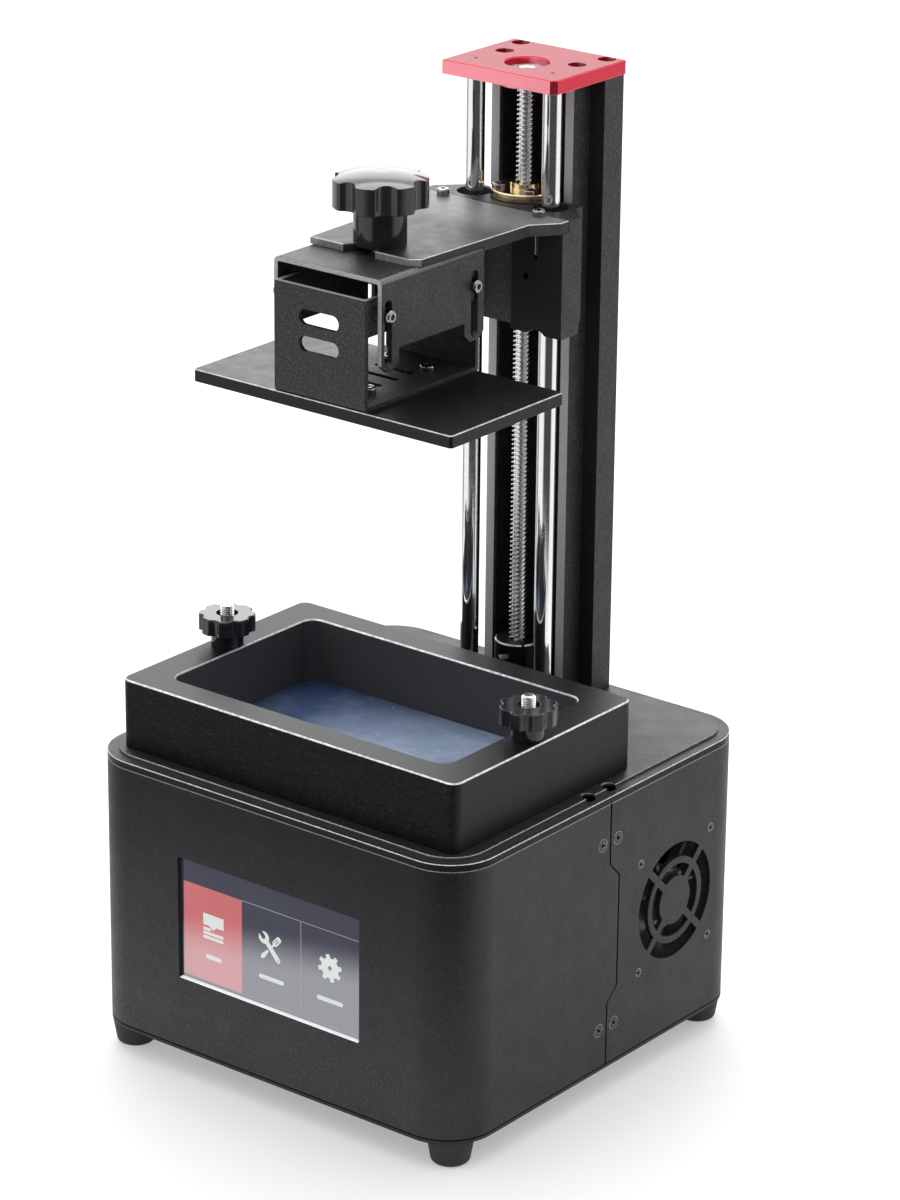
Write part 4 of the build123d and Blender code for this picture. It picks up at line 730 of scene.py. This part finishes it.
def circle(centre_x, centre_z, radius, segments):
    angles = [2 * math.pi * i / segments for i in range(segments)]
    return [(centre_x + radius * math.cos(a), centre_z + radius * math.sin(a)) for a in angles]


def mirrored(points):
    """The points on the other side of x = 0, in reverse order."""
    return [(-x, z) for x, z in reversed(points)]


def placed(points, centre, turn=0.0):
    """Turns points about the origin by some degrees, then moves them to centre."""
    c, s = math.cos(math.radians(turn)), math.sin(math.radians(turn))
    return [(centre[0] + x * c - z * s, centre[1] + x * s + z * c) for x, z in points]


def add_ring(bm, centre, radius, z, segments, rise=0.0):
    """A ring of vertices about a vertical axis, climbing by rise over a full turn."""
    ring = []
    for i in range(segments):
        a = 2 * math.pi * i / segments
        x = centre[0] + radius * math.cos(a)
        y = centre[1] + radius * math.sin(a)
        ring.append(bm.verts.new((x, y, z + rise * i / segments)))
    return ring


def bridge(bm, lower, upper):
    for i in range(len(lower)):
        j = (i + 1) % len(lower)
        bm.faces.new((lower[i], lower[j], upper[j], upper[i]))


def lathe(bm, centre, profile, segments=48):
    """Adds a closed turned body: profile is [(radius, z)] from one axis point to the other."""
    rings = []
    for radius, z in profile:
        if radius < 1e-9:
            rings.append([bm.verts.new((*centre, z))])
        else:
            rings.append(add_ring(bm, centre, radius, z, segments))
    for lower, upper in zip(rings, rings[1:]):
        if len(lower) > 1 and len(upper) > 1:
            bridge(bm, lower, upper)
            continue
        for i in range(segments):
            j = (i + 1) % segments
            if len(lower) == 1:
                bm.faces.new((lower[0], upper[j], upper[i]))
            else:
                bm.faces.new((lower[i], lower[j], upper[0]))


# Thread profiles: (share of the pitch, height from 0 at the root to 1 at the crest)
TRAPEZOID = [(0.0, 0.0), (0.28, 0.0), (0.45, 0.93), (0.49, 1.0), (0.80, 1.0), (0.84, 0.93)]
VEE = [(0.0, 0.0), (0.12, 0.0), (0.48, 0.95), (0.56, 1.0), (0.64, 0.95)]


def thread(centre, bottom, top, crest, root, pitch, profile, segments, starts=1):
    """A closed right-handed screw thread between two flat ends, as a new bmesh."""
    bm = bmesh.new()
    lead = pitch * starts
    # rows start below the bottom and run past the top, and are then cut flat
    first_z = bottom - lead - pitch
    pitches = int(math.ceil((top - bottom + 2 * lead + 3 * pitch) / pitch))
    rows = []
    for k in range(pitches):
        for share, height in profile:
            radius = root + (crest - root) * height
            z = first_z + (k + share) * pitch
            rows.append(add_ring(bm, centre, radius, z, segments, rise=lead))
    # after a full turn a row meets the one that starts a lead higher
    jump = starts * len(profile)
    for row in range(len(rows) - 1):
        for i in range(segments):
            j, meets = i + 1, row
            if j == segments:
                j, meets = 0, row + jump
                if meets + 1 >= len(rows):
                    continue
            bm.faces.new((rows[row][i], rows[meets][j], rows[meets + 1][j], rows[row + 1][i]))
    for z, outward in ((bottom, -1), (top, 1)):
        bmesh.ops.bisect_plane(
            bm,
            geom=bm.verts[:] + bm.edges[:] + bm.faces[:],
            plane_co=(0, 0, z),
            plane_no=(0, 0, outward),
            clear_outer=True,
        )
    loose = [v for v in bm.verts if not v.link_faces]
    bmesh.ops.delete(bm, geom=loose, context="VERTS")
    bmesh.ops.remove_doubles(bm, verts=bm.verts[:], dist=1e-8)
    rim = [e for e in bm.edges if e.is_boundary]
    bmesh.ops.holes_fill(bm, edges=rim, sides=0)
    return bm


def stud_tip(bm, centre, neck, tip, top):
    """A short cone that closes the upper end of a stud."""
    profile = [(0, top - 0.6 * MM), (neck, top - 0.55 * MM), (tip, top), (0, top)]
    lathe(bm, centre, profile, 32)


# ------------------------------------------------------------------ threaded pieces


def lead_screw():
    """Four-start screw from inside the coupler to the top bearing, with plain ends."""
    low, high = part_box("lead_screw")
    centre = ((low.x + high.x) / 2, (low.y + high.y) / 2)
    radius = (high.x - low.x) / 2
    crest = radius - 0.02 * MM
    root = radius - 1.15 * MM
    journal = radius - 0.05 * MM
    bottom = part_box("coupler")[1].z - 4 * MM
    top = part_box("top_bearing")[0].z - 1.2 * MM
    bm = thread(centre, bottom, top, crest, root, 2 * MM, TRAPEZOID, 48, starts=4)
    lower_end = [
        (0, low.z),
        (radius - 0.6 * MM, low.z),
        (crest, low.z + 0.6 * MM),
        (crest, bottom - 0.9 * MM),
        (root, bottom + 0.2 * MM),
        (0, bottom + 0.3 * MM),
    ]
    # chamfered, with a small centre hole in its top
    upper_end = [
        (0, top - 0.3 * MM),
        (root, top - 0.2 * MM),
        (journal, top + 0.6 * MM),
        (journal, high.z - 0.6 * MM),
        (radius - 0.65 * MM, high.z),
        (1.1 * MM, high.z),
        (0.9 * MM, high.z - 0.5 * MM),
        (0, high.z - 1.1 * MM),
    ]
    lathe(bm, centre, lower_end)
    lathe(bm, centre, upper_end)
    screw = finish_mesh("lead_screw_thread", bm, "thread_steel", "screw", 32)
    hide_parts("lead_screw")


def vat_studs():
    """Two studs on the deck, plain below and threaded above."""
    low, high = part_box("vat_studs")
    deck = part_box("deck_plate")[1].z
    radius = (high.y - low.y) / 2
    crest = radius - 0.02 * MM
    root = radius - 0.62 * MM
    shank = [
        (0, low.z),
        (crest, low.z),
        (crest, deck + 13 * MM),
        (root, deck + 14.1 * MM),
        (0, deck + 14.2 * MM),
    ]
    bm = bmesh.new()
    for x in (low.x + radius, high.x - radius):
        centre = (x, (low.y + high.y) / 2)
        bottom, top = deck + 14 * MM, high.z - 0.5 * MM
        part = thread(centre, bottom, top, crest, root, 1 * MM, VEE, 32)
        carrier = bpy.data.meshes.new("carrier")
        part.to_mesh(carrier)
        part.free()
        bm.from_mesh(carrier)
        bpy.data.meshes.remove(carrier)
        lathe(bm, centre, shank, 32)
        stud_tip(bm, centre, neck=root, tip=radius - 1.0 * MM, top=high.z)
    studs = finish_mesh("vat_studs_threaded", bm, "thread_steel", "base", 35)
    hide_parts("vat_studs")


def hexagon_head(bm, centre, radius, bottom, top):
    """Hexagon head with chamfered lower corners; radius is to the corners."""
    segments = 24
    apothem = radius * math.cos(math.pi / 6)
    rings = []
    for z, reach in ((bottom, 0.86), (bottom + 0.5 * MM, 1.0), (top - 0.05 * MM, 1.0)):
        ring = []
        for i in range(segments):
            a = 2 * math.pi * i / segments
            off_flat = ((a + math.pi / 6) % (math.pi / 3)) - math.pi / 6
            flat = apothem / math.cos(off_flat)
            r = min(flat, radius * 0.985) * min(1.0, reach * radius / flat)
            x = centre[0] + r * math.cos(a)
            y = centre[1] + r * math.sin(a)
            ring.append(bm.verts.new((x, y, z)))
        rings.append(ring)
    for lower, upper in zip(rings, rings[1:]):
        bridge(bm, lower, upper)
    bm.faces.new(rings[0])
    bm.faces.new(rings[-1])


def clamp_stud():
    """Threaded stud standing on a hexagon head."""
    low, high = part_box("clamp_stud")
    centre = (0.0, (low.y + high.y) / 2)
    crest = 3.98 * MM
    head_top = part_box("upper_bracket")[1].z - 2 * MM
    bottom, top = head_top + 0.5 * MM, high.z - 0.5 * MM
    bm = thread(centre, bottom, top, crest, 3.25 * MM, 1.25 * MM, VEE, 40)
    stud_tip(bm, centre, neck=3.3 * MM, tip=2.9 * MM, top=high.z)
    hexagon_head(bm, centre, (high.x - low.x) / 2, low.z, head_top)
    collar = [
        (0, head_top - 0.5 * MM),
        (crest, head_top - 0.5 * MM),
        (crest, head_top + 0.3 * MM),
        (3.3 * MM, head_top + 0.7 * MM),
        (0, head_top + 0.8 * MM),
    ]
    lathe(bm, centre, collar, 32)
    stud = finish_mesh("clamp_stud_threaded", bm, "thread_steel", "platform", 35)
    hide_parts("clamp_stud")


# ------------------------------------------------------------------ display
# Shapes are in millimetres, as (x, z) from the centre of the touch screen.
screen_low, screen_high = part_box("touch_screen")
SCREEN_X = (screen_low.x + screen_high.x) / 2
SCREEN_Z = (screen_low.z + screen_high.z) / 2
SCREEN_Y = screen_low.y

FACE_RIGHT, FACE_TOP = 47.9, 27.2
FACE_LEFT, FACE_BOTTOM = -FACE_RIGHT, -FACE_TOP
TILE_TOP = 16.8
TILE_BOTTOM = FACE_BOTTOM + 1.4
FIRST_SPLIT, SECOND_SPLIT = -15.4, 16.6  # x of the divisions between the three tiles
LINE = 0.18  # half the width of a dividing line
ICON_X = (-31.0, 0.2, 32.1)
ICON_Z = -0.3
CAPTION_Z = -14.4
CAPTION_HEIGHT, CAPTION_RADIUS = 1.9, 0.9


def lit(name, colour, wash, base=0.55):
    """A lit tile under gloss: base dims its own colour, wash is a pale veil at the bottom, a
    painted reflection of the floor.
    """
    m = Finish(name, colour, rough=0.12, ior=1.24)
    place = m.xyz()
    level = m.math("SUBTRACT", place["Z"], m.multiply(place["X"], 0.12))
    # painted reflection of the floor: a pale veil at the bottom of the screen
    veil = m.ramp(level, SCREEN_Z + 9 * MM, SCREEN_Z - 11 * MM, at_end=wash, smooth=True)
    grain = m.mottle(0.00045, 0.97, 1.03, detail=1.0)
    glow = m.mix(veil, tuple(c * base for c in colour), (0.60, 0.60, 0.63))
    m.set("Emission Color", m.scaled(glow, grain))
    m.set("Emission Strength", 1.0)
    dark = tuple(c * 0.25 for c in colour)
    light = tuple(c * 0.35 for c in colour)
    m.paint(m.mix(m.mottle(0.02), dark, light))
    m.set("Coat Weight", 0.15)
    m.set("Coat Roughness", 0.05)


def plates(name, shapes, finish, front, back):
    """Flat shapes, front and back millimetres ahead of the screen."""
    bm = bmesh.new()
    for loops in shapes:
        in_metres = [[(SCREEN_X + x * MM, SCREEN_Z + z * MM) for x, z in loop] for loop in loops]
        outline_mesh(bm, in_metres, SCREEN_Y - front * MM, SCREEN_Y - back * MM)
    bmesh.ops.remove_doubles(bm, verts=bm.verts[:], dist=1e-7)
    finish_mesh(name, bm, finish, "base")


def block(left, right, bottom, top, radius=0.15):
    middle_x, middle_z = (left + right) / 2, (bottom + top) / 2
    return [rounded(middle_x, middle_z, right - left, top - bottom, radius, 3)]


def deposit_icon(centre):
    """A block with a point in its lower side, above three bars."""
    pointed = [
        (-5.6, 5.4), (-5.6, 0.2), (-2.2, 0.2), (-0.3, -1.6), (1.6, 0.2), (5.6, 0.2), (5.6, 5.4),
    ]
    shapes = [
        [pointed],
        block(-5.6, -1.6, -2.2, -0.9),
        block(-5.6, 5.4, -4.0, -2.7),
        block(-5.6, 5.4, -6.0, -4.6),
    ]
    return [[placed(loop, centre) for loop in loops] for loops in shapes]


def spanner():
    """An open-ended spanner standing up, jaw at the top."""
    right = []
    for i in range(19):
        a = math.radians(-66 + (i / 18) * 132)
        right.append((2.75 * math.cos(a), 5.3 + 2.75 * math.sin(a)))
    lip = right[-1][1] + 0.25
    notch = [(1.15, lip), (1.15, 5.2), (0, 4.5), (-1.15, 5.2), (-1.15, lip)]
    tail = [(-1.15, -6.2), (-0.8, -7.0), (0, -7.35), (0.8, -7.0), (1.15, -6.2)]
    return right + notch + mirrored(right) + tail


def tools_icon(centre):
    """A spanner crossed with a second tool that has a slotted handle."""
    hole = circle(0, -6.1, 0.45, 12)
    handle = rounded(0, 5.2, 2.7, 5.0, 0.8, 4)
    left_slot = rounded(-0.45, 5.0, 0.35, 2.9, 0.12, 2)
    right_slot = rounded(0.5, 5.0, 0.35, 2.9, 0.12, 2)
    shaft = rounded(0, 1.9, 0.9, 1.7, 0.1, 2)
    blade_left = [(-0.5, -2.0), (-0.75, -4.2), (-1.05, -5.6), (-0.6, -7.4)]
    blade = blade_left + mirrored(blade_left)
    shapes = [
        (42, [spanner(), hole]),
        (-42, [handle, left_slot, right_slot]),
        (-42, [shaft]),
        (-42, [blade]),
    ]
    return [[placed(loop, centre, turn) for loop in loops] for turn, loops in shapes]


def gear_icon(centre):
    gear = []
    for k in range(8):
        # degrees from the middle of the tooth, radius
        for offset, radius in ((-13.5, 4.6), (-8.5, 6.2), (8.5, 6.2), (13.5, 4.6)):
            a = math.radians(k * 45 + 12 + offset)
            gear.append((radius * math.cos(a), radius * math.sin(a)))
    return [[placed(gear, centre), circle(*centre, 1.05, 24)]]


def caption(x, width):
    return [rounded(x, CAPTION_Z, width, CAPTION_HEIGHT, CAPTION_RADIUS)]


def display():
    lit("ui_slate", (0.046, 0.049, 0.078), wash=0.46)
    lit("ui_red", (0.56, 0.145, 0.150), wash=0.44, base=0.70)
    lit("ui_line", (0.24, 0.24, 0.29), wash=0.25, base=0.8)
    lit("ui_icon", (0.66, 0.71, 0.69), wash=0.10, base=0.74)

    face = block(FACE_LEFT, FACE_RIGHT, FACE_BOTTOM, FACE_TOP, 1.0)
    plates("display_face", [face], "ui_slate", front=0.08, back=0.0)
    tile = block(FACE_LEFT + 0.5, FIRST_SPLIT, TILE_BOTTOM, TILE_TOP)
    plates("display_tile_first", [tile], "ui_red", front=0.12, back=0.02)

    line_right = FACE_RIGHT - 0.3
    foot_top = TILE_BOTTOM + 1.5 * LINE
    # left, right, bottom, top
    lines = [
        (FIRST_SPLIT, line_right, TILE_TOP - LINE, TILE_TOP + LINE),
        (SECOND_SPLIT - LINE, SECOND_SPLIT + LINE, FACE_BOTTOM + 1.6, TILE_TOP - 1.2 * LINE),
        (FIRST_SPLIT + 0.6, SECOND_SPLIT - 1.3 * LINE, TILE_BOTTOM, foot_top),
        (SECOND_SPLIT + 1.3 * LINE, line_right, TILE_BOTTOM, foot_top),
    ]
    shapes = [block(*line, 0.1) for line in lines]
    plates("display_lines", shapes, "ui_line", front=0.16, back=0.02)

    icons = deposit_icon((ICON_X[0], ICON_Z))
    icons += tools_icon((ICON_X[1], ICON_Z))
    icons += gear_icon((ICON_X[2], ICON_Z + 0.6))
    plates("display_icons", icons, "ui_icon", front=0.22, back=0.04)
    captions = [
        caption(ICON_X[0], 8.6),
        caption(ICON_X[1] + 0.4, 13.4),
        caption(ICON_X[2], 13.8),
    ]
    plates("display_caption_bars", captions, "ui_icon", front=0.22, back=0.04)


def glass_edge():
    """The lower edge of the cover glass, a pale ledge inside the window, glowing as a painted
    highlight.
    """
    m = Finish("glass_edge", (0.74, 0.76, 0.75), rough=0.22)
    m.vary(size=0.006, amount=0.06)
    # painted highlight: the ledge glows though it is no lamp
    m.set("Emission Color", (0.9, 0.92, 0.9))
    m.set("Emission Strength", 0.35)
    cover_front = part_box("front_cover")[0].y
    window_bottom = SCREEN_Z - 27.7 * MM
    floor = window_bottom + 0.02 * MM
    # y, z around the section
    section = [
        (cover_front + 0.10 * MM, floor),
        (SCREEN_Y - 0.02 * MM, floor),
        (SCREEN_Y - 0.02 * MM, window_bottom + 0.42 * MM),
        (cover_front + 0.35 * MM, window_bottom + 0.30 * MM),
        (cover_front + 0.10 * MM, window_bottom + 0.12 * MM),
    ]
    bm = bmesh.new()
    rings = []
    # x from the middle of the screen and how far the section is lowered, in millimetres
    for offset, drop in ((-48.0, 0.12), (-48.4, 0.0), (48.4, 0.0), (48.0, 0.12)):
        x = SCREEN_X + offset * MM
        rings.append([bm.verts.new((x, y, max(floor, z - drop * MM))) for y, z in section])
    for first, second in zip(rings, rings[1:]):
        bridge(bm, first, second)
    bm.faces.new(rings[0])
    bm.faces.new(rings[-1])
    finish_mesh("display_glass_edge", bm, "glass_edge", "base")


# ------------------------------------------------------------------ stage


def floor_paper():
    """Pale paper that glows a little; far away, glossy rays pass through to the studio."""
    m = Finish("floor_paper", (0.55, 0.55, 0.553), rough=0.85)
    m.set("Emission Color", (1.0, 1.0, 1.0))
    m.set("Emission Strength", 0.36)
    m.vary(size=0.4, amount=0.01)
    m.bump(m.noise(0.002), depth=0.0001, strength=0.2)
    place = m.xyz()
    distance_squared = m.weighted(place["X"], place["X"], place["Y"], place["Y"])
    far = m.ramp(distance_squared, start=0.16, end=0.42, smooth=True)
    glossy = m.node("ShaderNodeLightPath").outputs["Is Glossy Ray"]
    clear = m.node("ShaderNodeBsdfTransparent").outputs[0]
    inputs = {0: m.multiply(far, glossy), 1: m.shader.outputs[0], 2: clear}
    m.feed(m.output.inputs[0], m.node("ShaderNodeMixShader", inputs).outputs[0])
    return m.material


def floor_disc():
    bm = bmesh.new()
    bmesh.ops.create_circle(bm, cap_ends=True, segments=96, radius=4.0)
    data = bpy.data.meshes.new("floor")
    bm.to_mesh(data)
    bm.free()
    floor = bpy.data.objects.new("floor", data)
    floor.location.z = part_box("feet")[0].z - 0.2 * MM
    bpy.context.scene.collection.objects.link(floor)
    data.materials.append(floor_paper())


def studio_world():
    """White to the camera; reflections and light see a shaped studio.

    Bearings are degrees from the camera's side of the machine, towards the camera's right.
    """
    world = bpy.data.worlds.new("studio")
    bpy.context.scene.world = world
    world.use_nodes = True
    w = Graph(world.node_tree)
    x, y, z = w.components(w.node("ShaderNodeTexCoord").outputs["Generated"])
    flat_squared = w.math("MAXIMUM", w.weighted(x, x, y, y), 1e-6)
    flat = w.math("POWER", flat_squared, 0.5)

    def cos(degrees):
        return math.cos(math.radians(degrees))

    def bearing(degrees):
        """Cosine of the horizontal angle from a bearing."""
        a = YAW + math.radians(degrees)
        return w.math("DIVIDE", w.weighted(x, math.sin(a), y, -math.cos(a)), flat)

    def toward(azimuth, elevation):
        """Cosine of the angle from a bearing and height, in degrees."""
        a, e = YAW + math.radians(azimuth), math.radians(elevation)
        level_x, level_y = math.sin(a) * math.cos(e), -math.cos(a) * math.cos(e)
        return w.add(w.weighted(x, level_x, y, level_y), w.multiply(z, math.sin(e)))

    # the unlit room behind the camera
    dark_side = w.ramp(bearing(12), cos(56), cos(34), smooth=True)
    low = w.ramp(z, 0.30, 0.75, at_start=1.0, at_end=0.0, smooth=True)
    dark = w.multiply(dark_side, low)
    level = w.math("SUBTRACT", 1.10, w.multiply(dark, 1.03))
    # a gap between the side and rear screens
    rear_gap = w.ramp(bearing(-113), cos(15), cos(5), at_end=0.75, smooth=True)
    level = w.multiply(level, w.invert(w.multiply(rear_gap, low)))
    overhead = w.ramp(z, 0.55, 0.90, at_end=0.35, smooth=True)
    level = w.add(level, overhead)
    # a large softbox behind the machine: its spill, then its bright middle
    for outer, inner, strength in ((40, 16, 1.05), (17, 11, 1.5)):
        glow = w.ramp(toward(180, 22), cos(outer), cos(inner), at_end=strength, smooth=True)
        level = w.add(level, glow)

    def background(strength):
        inputs = {"Strength": strength, "Color": (1.0, 1.0, 1.0)}
        return w.node("ShaderNodeBackground", inputs).outputs[0]

    camera_ray = w.node("ShaderNodeLightPath").outputs["Is Camera Ray"]
    inputs = {0: camera_ray, 1: background(level), 2: background(1.0)}
    mixed = w.node("ShaderNodeMixShader", inputs).outputs[0]
    w.node("ShaderNodeOutputWorld", {0: mixed})


def soft_top():
    """A softbox above, to the rear left, aimed at the middle of the machine."""
    light = bpy.data.lights.new("soft_top", "AREA")
    light.shape = "RECTANGLE"
    light.size, light.size_y = 1.4, 1.0
    light.energy = 16
    lamp = bpy.data.objects.new("soft_top", light)
    lamp.location = (-0.5, 0.5, 1.7)
    lamp.rotation_mode = "QUATERNION"
    aim = (CAD_BOX[0] + CAD_BOX[1]) / 2 - Vector((-0.5, 0.5, 1.7))
    lamp.rotation_quaternion = aim.to_track_quat("-Z", "Y")
    bpy.context.scene.collection.objects.link(lamp)


def camera():
    """Looks down from the front right."""
    distance = 1.8455027
    flat = math.cos(PITCH)
    back = Vector((math.sin(YAW) * flat, -math.cos(YAW) * flat, math.sin(PITCH)))
    level_right = Vector((math.cos(YAW), math.sin(YAW), 0))
    level_up = back.cross(level_right)
    right = level_right * math.cos(ROLL) + level_up * math.sin(ROLL)
    up = level_up * math.cos(ROLL) - level_right * math.sin(ROLL)
    target = Vector((0, 0, 0.2)) + right * 0.0134341 + up * -0.0009977
    place = target + back * distance

    data = bpy.data.cameras.new("camera")
    data.sensor_fit = "AUTO"
    data.sensor_width = 36.0
    data.lens = 132.40455
    data.shift_x = -0.0031708333
    data.shift_y = -0.0014304167
    data.clip_start, data.clip_end = 0.05, 50
    viewer = bpy.data.objects.new("camera", data)
    bpy.context.scene.collection.objects.link(viewer)
    viewer.matrix_world = Matrix(
        (
            (right.x, up.x, back.x, place.x),
            (right.y, up.y, back.y, place.y),
            (right.z, up.z, back.z, place.z),
            (0, 0, 0, 1),
        )
    )
    bpy.context.scene.camera = viewer


# ------------------------------------------------------------------ build

build_finishes()
dress_cad_pieces()
lead_screw()
vat_studs()
clamp_stud()
display()
glass_edge()
floor_disc()
studio_world()
soft_top()
camera()
bpy.context.scene.view_settings.view_transform = "Standard"
